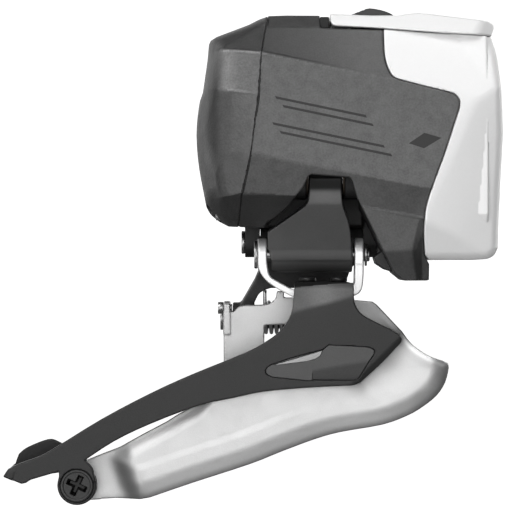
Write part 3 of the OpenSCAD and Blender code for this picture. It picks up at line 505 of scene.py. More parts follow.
HOUSING_FACES = [
    body_facet((-12, -21, 40.1), (16, -21, 40.1), (-12, SHOULDER_Y, SHOULDER_Z)),
    body_facet((-11.4, LINE1_Y, 31.1), (16.1, LINE1_Y, 25.6), (25.7, LINE3_Y, 1.45)),
    body_facet((-2.6, LINE3_Y, 7.4), (25.7, LINE3_Y, 1.45), (-4.4, -31.3, 0)),
    body_facet((0, -4, 0), (10, -4, 0), (0, -4, 30)),
    body_facet((0, -4, 33), (10, -4, 33), (0, -10, 40.1)),
]
LINE4_FACE = body_facet((-15.2, -31.3, 0.6), (-4.4, -31.3, 0), (-9, -21.5, -7))
LOW_INBOARD_FACE = body_facet((0, -4, 0), (10, -4, 0), (0, -8, -6.8))
LEG_INBOARD_FACE = body_facet((0, -4, 0), (10, -4, 0), (0, -8, -18.5))
LEG_SIDE_FACES = [
    body_facet((10.9, -31.9, -2.5), (23.8, -31.9, -4.9), (18, -31.6, -12)),
    body_facet((16.4, -31.65, -12.3), (21.9, -31.65, -11.8), (20, -28.9, -18.5)),
    body_facet((24.2, -30.2, -8.2), (21.9, -31.6, -11.8), (25.6, -26, -18.4)),
]
LEG_OUTLINE = [(8, -1.9), (10.9, -2.5), (23.8, -4.9), (27, -5.5), (27, -22), (15, -22), (8, -10)]

SEAM_Z = [-8, 0.4, 9.1, 22, 31.3, 39.8, 45]
SEAM_X = [-16.4, -15.4, -13.4, -11.8, -11.1, -9.7, -9.2]
SEAM_GAP = 0.045

BAY_EDGE = (
    [(15.6, 36.45)]
    + curve([(15.65, 33), (15.75, 30.6), (16.2, 28.4), (17.1, 26.4), (18.1, 25.5), (19.3, 25.1)])
    + [(30, 22.35)]
    + curve([(30.8, 22.05), (31.6, 21.4), (32.05, 20.3), (31.9, 18.9)])
    + [(28.7, 9.2)]
    + curve([(25.7, 1.2), (24.6, -2.6), (24.2, -6.2), (24.2, -9.5), (24.5, -13)])
    + [(25.6, -15), (25.6, -18.4), (25.2, -18.6)]
)
NOTCH = [(20, -18.6), (17.9, -16.9), (9.7, -0.5), (8.6, 3.2), (8, 3.95), (-0.3, 4.6), (-0.9, 4.2),
         (-2, 1.9), (-5.3, -2.3), (-8, -4.7), (-9.9, -5.85), (-10.4, -6.9)]
LEG_FOOT = [(13.7, -13.4), (14.2, -14.9), (16.2, -16.2), (18.6, -16.9), (20, -14), (17, -11)]
SHELL_OUTLINE = (
    [(-9.6, 39.95), (-5.6, 40.1), (1.8, 40.05), (1.8, 36.95)] + BAY_EDGE + NOTCH
    + [(-15.2, -6.75), (-18.5, -6.6)]
    + curve([(-20.6, -5.5), (-22.4, -4), (-23.4, -2.3)])
    + curve([(-24.7, 4.4), (-25.3, 8.6), (-25.6, 13.7), (-25.4, 17.9), (-24.9, 21.4)], 2)
    + [(-24.2, 23.3), (-23.2, 30.5), (-22.9, 34.2), (-22.5, 35), (-13.9, 38.1), (-11.6, 39.3)]
)


def twisted_face(x, y, z):
    """Face between the shoulder and the upper ridge, which fall at different slopes"""
    ridge_z = 31.1 + LINE1_SLOPE * (x + 11.4)
    share = (z - ridge_z) / (SHOULDER_Z - ridge_z)
    return (LINE1_Y + (SHOULDER_Y - LINE1_Y) * share - y) * 0.8


def housing_outside(x, y, z):
    """Outside of the main housing, before its openings are cut"""
    main = faceted(HOUSING_FACES, x, y, z, RIDGE)
    main = meet(main, twisted_face(x, y, z), RIDGE)
    low = meet(meet(main, over(LINE4_FACE, x, y, z), RIDGE), over(LOW_INBOARD_FACE, x, y, z), RIDGE)
    leg_side = faceted(LEG_SIDE_FACES, x, y, z, RIDGE)
    leg = join(main, meet(leg_side, outline(LEG_OUTLINE, x, z), 0.15), 0.12)
    leg = meet(leg, over(LEG_INBOARD_FACE, x, y, z), RIDGE)
    shape = np.where(x < 4, low, leg)
    shape = join(shape, bead(x, y, z, (-11.4, LINE1_Y + 0.3, 31.05), (14, LINE1_Y + 0.32, 26), 0.5), 0.3)
    return join(shape, bead(x, y, z, (24.2, -31.7, -4.97), (11, -31.7, -2.5), 0.34), 0.2)


SHELL_T = 1.9            # wall of the housing and its cap


def cavity(x, y, z, outside):
    """Hollow for the electronics and the gears, a wall's thickness inside the outside"""
    rear = slab(x, -40, -5.7)
    rear_room = np.maximum(rear, 11.5 - z)
    gear_room = np.maximum(np.maximum(rear, -0.6 - z), y + 13.4)
    front_room = np.maximum(slab(x, -6.7, 13.6), slab(z, 11.5, 35))
    return np.maximum(np.minimum(np.minimum(rear_room, gear_room), front_room), outside + SHELL_T)


# Openings in the shells, as boxes between two corners
KNUCKLE_ROOM = ((-15.7, -11.3, BOTTOM), (16.3, 20, 11.3))
LINK_ROOM = ((-4.5, -28.6, BOTTOM), (10.7, -10, 9.2))
CONTACT_ROOM = ((12.4, -23.02, 16.98), (17.42, -12.98, 23.02))
LATCH_ROOM = ((8.2, -20.6, 36), (20, -15.4, 45))
BUTTON_AT = (-4, -15)
BUTTON_HOLE_R = 2.75
STATUS_LENS_AT = (0.2, -15)
STATUS_HOLE_R = 0.92
CAP_SCREWS = [(-7.8, 31.6), (-7.8, 14), (-18, -3.6)]
CAP_SCREW_HEAD_X = -21.4


def screw_bosses(x, y, z):
    nearest = np.float32(THROUGH)
    for u, v in CAP_SCREWS:
        nearest = np.minimum(nearest, np.hypot(y - u, z - v))
    return np.maximum(nearest - 2.3, slab(x, -26, -10.6))


def screw_holes(x, y, z, shape):
    """Shape with the cap screws' holes and the recesses round their heads"""
    for at in CAP_SCREWS:
        shape = cut(shape, rod_x(x, y, z, 1.0, CAP_SCREW_HEAD_X, -11.2, at), 0.05)
        shape = cut(shape, rod_x(x, y, z, 1.9, -40, CAP_SCREW_HEAD_X + 1.5, at), 0.2)
    return shape


BAY_SECTION = [(-6.75, -13.45), (-6.75, 46), (-24.75, 46), (-24.75, 36), (-29.65, 22), (-29.65, -4),
               (-24.45, -13.45)]
BAY_REAR_X = 16.35


def seam_at(z):
    """X of the seam between the housing and the cap"""
    return np.interp(z, SEAM_Z, SEAM_X)


def main_housing(x, y, z):
    outside = housing_outside(x, y, z)
    shape = meet(outside, outline(SHELL_OUTLINE, x, z), 0.3)
    shape = np.minimum(shape, meet(outline(LEG_FOOT, x, z), slab(y, -23.5, -12), 0.3))
    shape = cut(shape, np.maximum(cavity(x, y, z, outside), -screw_bosses(x, y, z)), 0.2)
    shape = meet(shape, seam_at(z) + SEAM_GAP - x, 0.12)
    shape = screw_holes(x, y, z, shape)
    for room in (KNUCKLE_ROOM, LINK_ROOM):
        shape = cut(shape, block(x, y, z, *room, 0.3), 0.3)
    shape = cut(shape, np.maximum(outline(BAY_SECTION, y, z), BAY_REAR_X - x), 0.3)
    shape = cut(shape, rod_x(x, y, z, SHAFT_R + 0.15, -7, -3, P1), 0.1)
    for at, radius, r in ((BUTTON_AT, BUTTON_HOLE_R, 0.3), (STATUS_LENS_AT, STATUS_HOLE_R, 0.1)):
        shape = cut(shape, np.maximum(np.hypot(x - at[0], y - at[1]) - radius, 30 - z), r)
    for room, r in ((CONTACT_ROOM, 0.1), (LATCH_ROOM, 0.2)):
        shape = cut(shape, block(x, y, z, *room, r), r)
    return shape


CAP_SIDE_FACES = [
    body_facet((-11.4, -25.8, 37.1), (-11.4, LINE1_Y, 31.1), (-19.7, -27.8, 31.9)),
    body_facet((-11.4, LINE1_Y, 31.1), (-19.7, -28.2, 31.9), (-12, -32.4, 22)),
    body_facet((-12, -32.5, 22), (-21.3, -29.2, 23.4), (-13.4, LINE3_Y, 8.6)),
    body_facet((-13.4, LINE3_Y, 8.6), (-22.8, -30.2, 8.6), (-15.2, -31.3, 0.6)),
    body_facet((-15.2, -31.3, 0.6), (-23.4, -28.6, -1), (-15.2, -21.5, -6.9)),
    body_facet((-12, -21, 39.9), (-12, -25.8, 37.1), (-19, -23, 35.4)),
]
CAP_CORNER_FACE = body_facet((-17.9, -28.78, 31.9), (-17.7, -30.33, 23.4), (-20.6, -26.4, 31.9))
CAP_REAR_FACES = [
    body_facet((-20.2, -27.8, 31.9), (-21.6, -28.8, 23.4), (-24.4, -19.5, 23.3)),
    body_facet((-21.6, -28.8, 23.4), (-21.8, -29.4, 8.6), (-25.6, -20.5, 14)),
    body_facet((-21.8, -29.4, 8.6), (-20.8, -27.6, 0), (-24.8, -20, 4.4)),
    body_facet((-20.8, -27.6, 0), (-19, -21, -6.6), (-22.8, -18, -3.6)),
]
CAP_INBOARD_FACES = [
    HOUSING_FACES[3],
    HOUSING_FACES[4],
    LOW_INBOARD_FACE,
    body_facet((-13, -4, 10), (-13, -4, 20), (-24.5, -9, 10)),
]


def cap_outside(x, y, z):
    side = faceted(CAP_SIDE_FACES, x, y, z, RIDGE)
    rear = faceted(CAP_REAR_FACES, x, y, z, 1.0)
    inboard = faceted(CAP_INBOARD_FACES, x, y, z, 1.0)
    side = join(side, bead(x, y, z, (-19.2, -28.15, 31.9), (-6, -32.4, 30.5), 0.5), 0.3)
    side = join(side, bead(x, y, z, (-20.4, -29.35, 23.3), (-11, -32.4, 21.9), 0.42), 0.3)
    side = meet(side, over(CAP_CORNER_FACE, x, y, z), 0.5)
    return meet(meet(side, rear, 1.4), inboard, 1.0)


def cap_blank(x, y, z):
    return meet(cap_outside(x, y, z), outline(SHELL_OUTLINE, x, z), 1.4)


def rear_cap(x, y, z):
    outside = cap_blank(x, y, z)
    hollow = np.maximum(cavity(x, y, z, outside), -screw_bosses(x, y, z))
    shape = cut(outside, hollow, 0.2)
    shape = meet(shape, x - seam_at(z) + SEAM_GAP, 0.12)
    shape = screw_holes(x, y, z, shape)
    return cut(shape, block(x, y, z, *KNUCKLE_ROOM, 0.3), 0.3)


def gasket(x, y, z):
    """Soft ring that fills the seam, a little below the outside, and a black pad behind the lid's hook, put
    there as painted shade for the recess
    """
    outside = cap_blank(x, y, z)
    ring = np.maximum(outside + 0.3, -SHELL_T - outside)
    seam_x = seam_at(z)
    shape = meet(ring, slab(x, seam_x - 0.35, seam_x + 0.35), 0.1)
    shape = cut(shape, block(x, y, z, *KNUCKLE_ROOM, 0.3), 0.1)
    # The pad behind the lid's hook is painted shade: a black block where the recess is in shade
    return np.minimum(shape, block(x, y, z, (1.75, -24.2, 36.9), (3.8, -8, 39.5), 0.25))


def shell_outside(x, y, z):
    return np.where(x < seam_at(z), cap_outside(x, y, z), housing_outside(x, y, z))


def shell_painted_light(x, y, z):
    """Painted light and shade on the housing and its cap: how light the colour is on each band of facets, and
    painted shade inside the openings
    """
    line1 = np.interp(x, [-19.7, -11.4, 16.1], [31.9, 31.1, 25.6])
    line2 = np.interp(x, [-21.3, -12], [23.4, 22])
    line3 = np.interp(x, [-13.4, 25.7], [8.6, 1.45])
    line4 = np.interp(x, [-23.4, -15.2, -4.4], [-1, 0.6, 0])
    # Painted shade and light on the bands from the top down, on the cap's own bands with a painted highlight
    # down the middle one, then painted shade along the cap's rear edge
    painted_light = np.where(z > line1, 0.4 + 0.42 * smooth((x + 2) / 16), 1.08)
    painted_light = np.where((z > SHOULDER_Z) & (x > -12), 0.58, painted_light)
    middle = 1.0 + 1.1 * hump((x + 18.6) / 1.5) + 0.15 * smooth((-13 - x) / 6)
    painted_light = np.where((z > line2) & (z < line1) & (x < -11), middle, painted_light)
    painted_light = np.where((z < line2) & (x < -9), 0.72 + 0.33 * smooth((x + 17) / 7), painted_light)
    painted_light = painted_light * (0.38 + 0.62 * smooth((x + 21.8) / 2.4))
    painted_light = np.where((z < line3) & (x > -15), 0.78 - 0.15 * smooth((x - 4) / 18), painted_light)
    painted_light = np.where((z < line4) & (x < 8), 0.28, painted_light)
    # Painted shade on the leg, its foot and its front facet
    on_leg = (x > 9) & (z < -2.5 - 0.186 * (x - 10.9))
    painted_light = np.where(on_leg, 0.72 - 0.3 * smooth((-11.6 - z) / 0.8), painted_light)
    leg_front_x = np.interp(z, [-18.5, -14.2, -8.6, -5.5], [22.9, 21.3, 23.9, 24.6])
    painted_light = np.where(on_leg & (x > leg_front_x), 0.3, painted_light)
    # Painted highlights along the ridges, most of all on the cap
    ridge_highlight1 = hump((z - line1) / RIDGE_HIGHLIGHT_WIDTH) * (0.25 + 1.5 * smooth((-9 - x) / 3))
    ridge_highlight2 = hump((z - line2) / RIDGE_HIGHLIGHT_WIDTH) * 0.7 * smooth((-12 - x) / 3)
    ridge_highlights = ridge_highlight1 * smooth((x + 20.6) / 0.8) + ridge_highlight2 * smooth((x + 21) / 0.8)
    # Painted shade inside the openings: the colour there is a tenth
    return np.where(shell_outside(x, y, z) < -0.75, 0.1, painted_light + ridge_highlights)


def make_shells():
    make_piece(main_housing, "housing_shell", (-17, -35, -19), (33, -3, 41), 0.34, 0.5,
               ("drive_unit", "housing_plastic", CHARCOAL), ["main_housing"], shell_painted_light)
    make_piece(rear_cap, "rear_cap_shell", (-26, -35, -8), (-9, -3, 41), 0.3, 0.5,
               ("drive_unit", "cap_plastic", CAP_CHARCOAL), ["rear_cap"], shell_painted_light)
    make_piece(gasket, "seam_gasket", (-17, -35, -8), (4, -3, 40.5), 0.22, 0.4,
               ("drive_unit", "gasket_rubber", GASKET), ["housing_gasket"])


# Plain marks on the housing's side, as lines from start to end [x, z]
SIDE_STRIPES = [
    ((-8.2, 21.6), (11.5, 17.5)),
    ((-6.6, 19.7), (13.0, 15.6)),
    ((-8.8, 15.9), (15.4, 10.9)),
    ((-7.2, 14.0), (17.0, 9.0)),
]
STRIPE_WIDTH = 0.6
BADGE_OUTLINE = [(20.9, 11.3), (24.3, 13.6), (28, 12.5), (24.2, 10.2)]


def on_side_face(x, z, proud):
    """Point over the housing's main side face"""
    a, b, c, offset = HOUSING_FACES[1]
    return (x, (offset + proud - a * x - c * z) / b, z)


def add_marks():
    """Printed stripes and a plain badge on the housing's side"""
    points = []
    faces = []
    outlines = [BADGE_OUTLINE]
    for (x0, z0), (x1, z1) in SIDE_STRIPES:
        lean = STRIPE_WIDTH / 2
        low = STRIPE_WIDTH
        outlines.append([(x0, z0), (x1, z1), (x1 + lean, z1 - low), (x0 + lean, z0 - low)])
    for shape in outlines:
        first = len(points)
        for proud in (0.03, -0.1):
            points += [on_side_face(x, z, proud) for x, z in shape]
        n = len(shape)
        faces.append([first + i for i in range(n)])
        faces.append([first + n + i for i in reversed(range(n))])
        faces += [[first + i, first + n + i, first + n + (i + 1) % n, first + (i + 1) % n] for i in range(n)]
    marks = add_mesh("side_marks", points, faces, rounded=False)
    place(marks, "drive_unit", "housing_plastic", INK)


# ---- knuckle ----

LUG_R = 3.4
SHAFT_LUG_R = 4.4
BOLT_BOSS_R = 7.0
BOLT_R = 2.5
MOUNT_FACE_R = 20        # radius of the convex face round the frame bolt
BUSH_R = 2.9
LUGS = [(-14.8, -11.4), (11.8, 15.0)]
SHAFT_LUGS = [(-4.2, -1.2), (7.3, 10.3)]
KNUCKLE_SCREWS = [(-7.6, 8.4), (9.4, 8.4)]


def knuckle(x, y, z):
    shape = block(x, y, z, (-9.8, -11, -6.6), (11.8, -4.2, 10.8), 0.5)
    shape = join(shape, block(x, y, z, (-14.8, -10.2, -6.9), (15, -3.8, -2.4), 0.5), 0.6)
    mount_face = np.hypot(x, y + MOUNT_FACE_R) - MOUNT_FACE_R
    boss = meet(rod_y(x, y, z, BOLT_BOSS_R, -9, 0, (0, 0), 0.4), mount_face, 0.4)
    shape = join(shape, boss, 0.8)
    for span in LUGS:
        lug = eyelet(x, y, z, LUG_R, span, P3, (P3[0] - LUG_R, P3[1]), (P3[0] + LUG_R, -3), 0.15)
        shape = join(shape, lug, 0.4)
    low = (P1[0], P1[1] - SHAFT_LUG_R)
    for span in SHAFT_LUGS:
        lug = eyelet(x, y, z, SHAFT_LUG_R, span, P1, low, (-10, P1[1] + SHAFT_LUG_R), 0.35)
        shape = join(shape, lug, 0.5)
    shape = cut(shape, rod_x(x, y, z, LUG_R + 0.5, -11.4, 11.8, P3), 0.15)
    shape = cut(shape, rod_y(x, y, z, BOLT_R, -9, 5, (0, 0)), 0.3)
    shape = bored(shape, x, y, z, PIN_R + SNUG, P3)
    shape = cut(shape, rod_x(x, y, z, BUSH_R + SNUG, -10, 20, P1), 0.1)
    for at in KNUCKLE_SCREWS:
        shape = cut(shape, rod_y(x, y, z, 1.25, -20, 0, at), 0.1)
        shape = cut(shape, rod_y(x, y, z, 2.1, -6, 0, at), 0.15)
    return shape


def make_knuckle():
    make_piece(knuckle, "knuckle_casting", (-15, -25, -14), (15.2, 0.2, 11), 0.3, 0.6,
               ("drive_unit", "knuckle_aluminium", KNUCKLE_BLACK), ["knuckle"])


# ---- links ----

HUB_R = 3.9
UPPER_HUB_R = 3.05
LINK_PLAY = 0.05         # clearance round a link's pin, on the radius
OUTER_LINK = (
    [(-0.5, 0.5)] + curve([(-0.7, -4), (-1.2, -5.2), (-2.4, -6.3)])
    + [(-9.7, -11.5), (-9.7, -15), (-8.9, -17.8), (9.1, -17.8), (8.7, -12), (8.2, -9.2)]
    + curve([(7, -5.8), (6.7, -4), (6.6, 0.5)])
)


def outer_link(x, y, z):
    across, along = in_link(y, z, P1)
    lean_back = 0.85 * smooth((along + 5.4) / 3.6)
    plate = meet(outline(OUTER_LINK, x, along), slab(across, lean_back - HUB_R, -HUB_R + 2.2), 0.25)
    upper = rod_x(x, across, along, UPPER_HUB_R, -0.6, 6.6, (0, 0), 0.3)
    lower = rod_x(x, across, along, HUB_R, -8.9, 9.1, (0, -LINK_LENGTH), 0.35)
    shape = join(join(plate, upper, 0.5), lower, 0.5)
    shape = bored(shape, x, across, along, SHAFT_R + SNUG, (0, 0))
    return bored(shape, x, across, along, PIN_R + LINK_PLAY, (0, -LINK_LENGTH), 0.15)


LEGS = [(-17.6, -12.9), (2.2, 6.8)]
INNER_LINK = (
    [(-11.1, 0), (-11.1, -5)] + curve([(-12.6, -8.6), (-15.4, -13.6), (-17.6, -17.4)])
    + [(-12.9, -17.4)] + curve([(-12.7, -13.8), (-11.4, -11.4), (-9, -10.3)])
    + [(-2, -10.3), (2.2, -14), (2.2, -17.4), (6.8, -17.4), (6.8, -13), (9, -6), (11.5, -3), (11.5, 0)]
)


def link_painted_light(x, y, z):
    """Painted highlight along the outer link's bend, and painted shadow above it where the housing shades it
    """
    along = in_link(y, z, P1)[1]
    return (1 + 0.9 * hump((along + 3.5) / 1.2)) * (1 - 0.88 * smooth((along + 2.9) / 1.5))


def inner_link(x, y, z):
    across, along = in_link(y, z, P3)
    shape = meet(outline(INNER_LINK, x, along), slab(across, -1.8, 1.8), 0.35)
    shape = join(shape, rod_x(x, across, along, LUG_R, -11.32, 11.72, (0, 0), 0.1), 0.6)
    for x0, x1 in LEGS:
        shape = join(shape, rod_x(x, across, along, LUG_R, x0, x1, (0, -LINK_LENGTH), 0.3), 0.6)
    for end in (0, -LINK_LENGTH):
        shape = bored(shape, x, across, along, PIN_R + LINK_PLAY, (0, end), 0.15)
    return shape


def make_links():
    make_piece(outer_link, "outer_link_plate", (-10, -26, -23), (9.4, -11, 9), 0.26, 0.6,
               ("driven_link", "link_aluminium", LINK_GREY), ["outer_link"], link_painted_light)
    make_piece(inner_link, "inner_link_arch", (-18, -13, -31.5), (12, 2, -6), 0.28, 0.6,
               ("idle_link", "inner_link_aluminium", INNER_BLACK), ["inner_link"])


# ---- cage ----

EAR_R = 3.7
LEFT_SWEEP = (
    curve([(-11.9, -14), (-11.6, -16.4), (-10.05, -18.7), (-7.4, -20.6), (-4.4, -22.2)], 4)
    + [(-3, WEB_BOTTOM), (-3, WEB_TOP), (-3.6, WEB_TOP)]
    + curve([(-4.4, -20.5), (-7.2, -19), (-9.3, -17.4), (-9.9, -14)], 4)
)
RIGHT_SWEEP = (
    [(3, WEB_TOP), (3, WEB_BOTTOM)]
    + curve([(8, WEB_BOTTOM), (10.4, -21.6), (11.4, -19.6), (11.6, -15)], 4)
    + [(9.6, -15)] + curve([(9.5, -18.8), (9.3, -19.6), (8.6, WEB_TOP)])
)
EARS = [(-11.9, -9.9), (9.6, 11.6)]


def cage_fork(x, y, z):
    y0 = P2[0] - EAR_R
    y1 = P2[0] + EAR_R
    shape = block(x, y, z, (-3.4, -24, WEB_BOTTOM), (8.4, -10.2, WEB_TOP), 0.3)
    for sweep in (LEFT_SWEEP, RIGHT_SWEEP):
        shape = join(shape, meet(outline(sweep, x, z), slab(y, y0, y1), 0.3), 0.2)
    for span in EARS:
        shape = join(shape, eyelet(x, y, z, EAR_R, span, P2, (y0, -15.2), (y1, P2[1]), 0.3), 0.1)
    shape = bored(shape, x, y, z, PIN_R + SNUG, P2)
    return rivet_holes(x, y, shape)


ARM_OUTLINE = (
    [(-3.9, -17)]
    + curve([(-3.95, -20.5), (-4.2, -22.9), (-4.7, -26), (-6.9, -29.4), (-10, -31.8), (-14.6, -34.3),
             (-26.4, -39.1), (-35.6, -43.3), (-46.2, -48.9), (-56.1, -55), (-59.7, -57), (-64.2, -58.6),
             (-66.6, -60)])
    + [(-67.5, -61.4), (-63.6, -63), (-62.6, -62.8), (-61.5, -62.1), (-55.4, -60.3), (-55.4, -63),
       (-54, -63.4), (-48.6, -63.4), (-47.4, -62.2), (-48, -59.6)]
    + curve([(-49.6, -57.8), (-43.3, -53.7), (-35.6, -50), (-24.8, -45.9), (-17.1, -44.2),
             (-10.9, -42.9), (-2.6, -42.1), (8.6, -41.5)])
    + [(9.6, -41.3), (10.6, -40.8), (15.3, -36.5), (19.3, -32.2), (19.6, -31.3), (19.1, -30.4)]
    + curve([(16.7, -29), (11.9, -26.6), (10.1, -25.1), (9.2, -23.1), (9.1, -20.5)])
    + [(9.1, -17)]
)
WINDOW_OUTLINE = (
    curve([(-8.6, -39.7), (-9.7, -39.2), (-10.2, -38.5), (-9.9, -37.6), (-8.9, -36.9)])
    + [(-4.4, -35.4), (2.4, -33.6), (3.6, -32.6), (11.4, -33.0)]
    + curve([(12.6, -33.2), (13.6, -33.8), (13.4, -34.8)], 2)
    + [(12.4, -36.2), (9.9, -40.4), (0.2, -40.3), (-0.6, -40.5)]
)
NOSE_BEVEL = facet((18.7, ARM_FACE_Y, -31.4), (9.9, ARM_FACE_Y, -40.1), (19.4, -29.25, -32.1), (0, -28, -30))
TAIL_WALL = (
    [(-66.6, -61.6), (-65.9, -59)]
    + curve([(-65.3, -57.4), (-63.4, -55.9), (-58.8, -54.1), (-56.6, -54.5), (-54, -56)])
    + [(-49.5, -59), (-49.5, -60.6), (-62, -62.4)]
)
TAIL_END = [(-67.5, -61.4), (-66.4, -59.7), (-64.8, -60.1), (-65.6, -62.2)]
TAIL_HEAD_SEAT_Y = -27.7
WINDOW_DEPTH = 0.9


def above_crease(x, z):
    """Height over the arm's slanted crease, where its folded top begins to lean back"""
    return z + 25.5 - 0.264 * (x + 2.75)


def outer_cage_arm(x, y, z):
    rise = above_crease(x, z)
    face_y = ARM_FACE_Y + 0.42 * (0.5 * rise + np.sqrt(0.25 * rise * rise + 0.1))
    back_y = np.maximum(ARM_FACE_Y + ARM_T, face_y + 1.6)
    outside = meet(face_y - y, z - FLANGE_TOP, 2.0)
    inside = np.maximum(back_y - y, z - WEB_TOP)
    folded = np.maximum(outside, -inside)
    plate = meet(outline(ARM_OUTLINE, x, z), np.maximum(folded, y - back_y), 0.35)
    plate = meet(plate, over(NOSE_BEVEL, x, y, z), 0.15)
    flange = block(x, y, z, (-3.3, -28.5, WEB_TOP + 0.02), (8.3, -15, FLANGE_TOP), 0.3)
    shape = np.minimum(plate, np.maximum(flange, outside))
    shape = join(shape, meet(outline(TAIL_END, x, z), slab(y, -29.7, -14.6), 0.4), 0.3)
    shape = join(shape, meet(outline(TAIL_WALL, x, z), slab(y, -16, -14.6), 0.3), 0.4)
    shape = join(shape, rod_y(x, y, z, 4.3, -29, -24.62, TAIL_AT, 0.5), 0.3)
    window = np.maximum(outline(WINDOW_OUTLINE, x, z), y - (ARM_FACE_Y + WINDOW_DEPTH))
    shape = tail_hole(x, y, z, cut(shape, window, 0.12))
    head_room = rod_y(x, y, z, TAIL_HEAD_R + SNUG, BOTTOM, TAIL_HEAD_SEAT_Y, TAIL_AT)
    return rivet_holes(x, y, cut(shape, head_room, 0.15))


def arm_painted_light(x, y, z):
    """Painted highlight on the arm's folded top, most of all in the middle, and painted shade behind its face
    """
    top_highlight = smooth((above_crease(x, z) + 0.3) / 1.4) * (0.55 + 0.6 * hump((x - 2.4) / 3.4))
    return np.where(y > ARM_FACE_Y + ARM_T + 0.3, 0.3, 1 + 4.5 * top_highlight)


INLAY_FLAT_Y = ARM_FACE_Y + 0.12
INLAY_DARK_RIGHT = facet((2.1, INLAY_FLAT_Y, -37.9), (12.3, INLAY_FLAT_Y, -36.2),
                         (8, ARM_FACE_Y + 0.75, -40.3), (3, -26, -37))
SILVER_CUT = [(-8.4, -36.95), (2.3, -33.75), (1.7, -35.1), (0.7, -35.7), (-1, -36.2), (-7.6, -37.0)]


def arm_inlay(x, y, z):
    """Grey badge that fills the arm's window, with a slanted face and a recess for the bright cut"""
    side = outline(WINDOW_OUTLINE, x, z) + 0.06
    shape = meet(side, slab(y, INLAY_FLAT_Y, ARM_FACE_Y + 0.88), 0.12)
    slanted = np.minimum(over(INLAY_DARK_RIGHT, x, y, z), 3.0)
    shape = meet(shape, np.where(x > 0, slanted, -1.0), 0.08)
    return cut(shape, np.maximum(outline(SILVER_CUT, x, z), y - (ARM_FACE_Y + 0.6)), 0.05)


def inlay_bright(x, y, z):
    tilted = ARM_FACE_Y + 0.14 + 0.22 * np.clip(z + 37.2 - 0.25 * (x + 8), 0, 3) - y
    shape = np.maximum(outline(SILVER_CUT, x, z) + 0.04, y - (ARM_FACE_Y + 0.58))
    return meet(shape, tilted, 0.06)


PLATE_LOWER = (
    curve([(29.9, -36.7), (30.1, -37.8), (29.3, -41), (27.4, -43.9), (24.3, -46.4), (21, -48.3),
           (15.5, -50.3), (6.4, -51.9), (0.9, -53.4), (-6.4, -56.1), (-13.7, -59), (-26.3, -63.1),
           (-35.6, -66.3)])
    + [(-37.8, -66.7), (-43.3, -66.5), (-48, -66.8)]
)
UPPER_EDGE = [(-44.9, -56.2), (-42.4, -55.2), (-37.2, -52.3), (-31.9, -49.5), (-29.4, -47.9), (-27, -46.6)]
UPPER_LIP = UPPER_EDGE + [(-24.8, -43.9), (-23.4, -39.5)]
NOSE_POINTS = [(19.8, -29.8), (22, -32.6), (25.5, -35.0), (28.8, -36.2)]
NOSE_EDGE = curve([(14.1, -23.8)] + NOSE_POINTS)
PLATE_OUTLINE = (
    [(9, -22.8), (13.2, -23.2), (14.1, -23.8)] + curve(NOSE_POINTS) + PLATE_LOWER
    + curve([(-51.5, -67.6), (-54.6, -66.2), (-55.7, -63.4), (-54.6, -60.4), (-51.4, -58.9)])
    + [(-50.2, -58.3)] + UPPER_EDGE + [(-20, -42.5), (-5, -36), (4, -28)]
)
PLATE_FACE_Y = ARM_FACE_Y + ARM_T + 0.02
TAIL_PAD_Y = -24.6


def joggle(x, z):
    """Share of the slanted step between the plate and its tail pad, 0 before it and 1 past it"""
    return (-38.7 + (-57.5 - z) * 0.3 - x) / 6.8


def plate_face(x, z):
    """Outboard face of the formed outer plate, from the distances to its lips"""
    lower = path_distance(PLATE_LOWER, x, z)
    upper = path_distance(UPPER_LIP, x, z)
    nose = path_distance(NOSE_EDGE, x, z)
    face_y = PLATE_FACE_Y + 1.9 * np.clip(1 - lower / 4.4, 0, 1) ** 2
    face_y = face_y + 1.0 * smooth(1 - upper / 3.7)
    face_y = face_y - 0.3 * smooth(1 - nose / 3.2) * smooth((x - 12) / 8)
    face_y = face_y + 0.5 * hump((lower - 10.5) / 4.5) * smooth((x + 8) / 20)
    face_y = face_y + 0.16 * smooth((lower - 6.2) / 1.8) * smooth((4 - x) / 20)
    return face_y + (TAIL_PAD_Y - face_y) * smooth(joggle(x, z))


def plate_painted_light(x, y, z):
    """Painted shade on the blasted silver beside the arm's upper edge, round its nose, along the lip and the
    step, and a painted highlight along the nose's edge
    """
    beside_arm = path_distance([(9.9, -40.5), (19.3, -32)], x, z)
    painted_light = 1 - 0.6 * smooth((z + 34) / 5) * smooth((x - 8) / 2)
    painted_light = painted_light - 0.45 * hump(beside_arm / 2.6) * smooth((23 - x) / 4)
    painted_light = painted_light * (1 - 0.3 * smooth(1 - path_distance(PLATE_LOWER, x, z) / 1.6))
    # Painted shade on the slanted step to the tail pad
    step = hump((joggle(x, z) - 0.52) / 0.42) * smooth((-56.8 - z - 0.4 * (x + 43)) / 2)
    painted_light = painted_light * (1 - 0.55 * step)
    # Painted highlight along the nose's edge
    nose_highlight = hump((path_distance(NOSE_EDGE, x, z) - 0.8) / 0.45) * smooth((x - 14) / 4)
    return painted_light * (1 + 0.5 * nose_highlight)


def outer_cage_plate(x, y, z):
    face_y = plate_face(x, z)
    shape = meet(outline(PLATE_OUTLINE, x, z), slab(y, face_y, face_y + PLATE_T), 0.3)
    return tail_hole(x, y, z, shape)


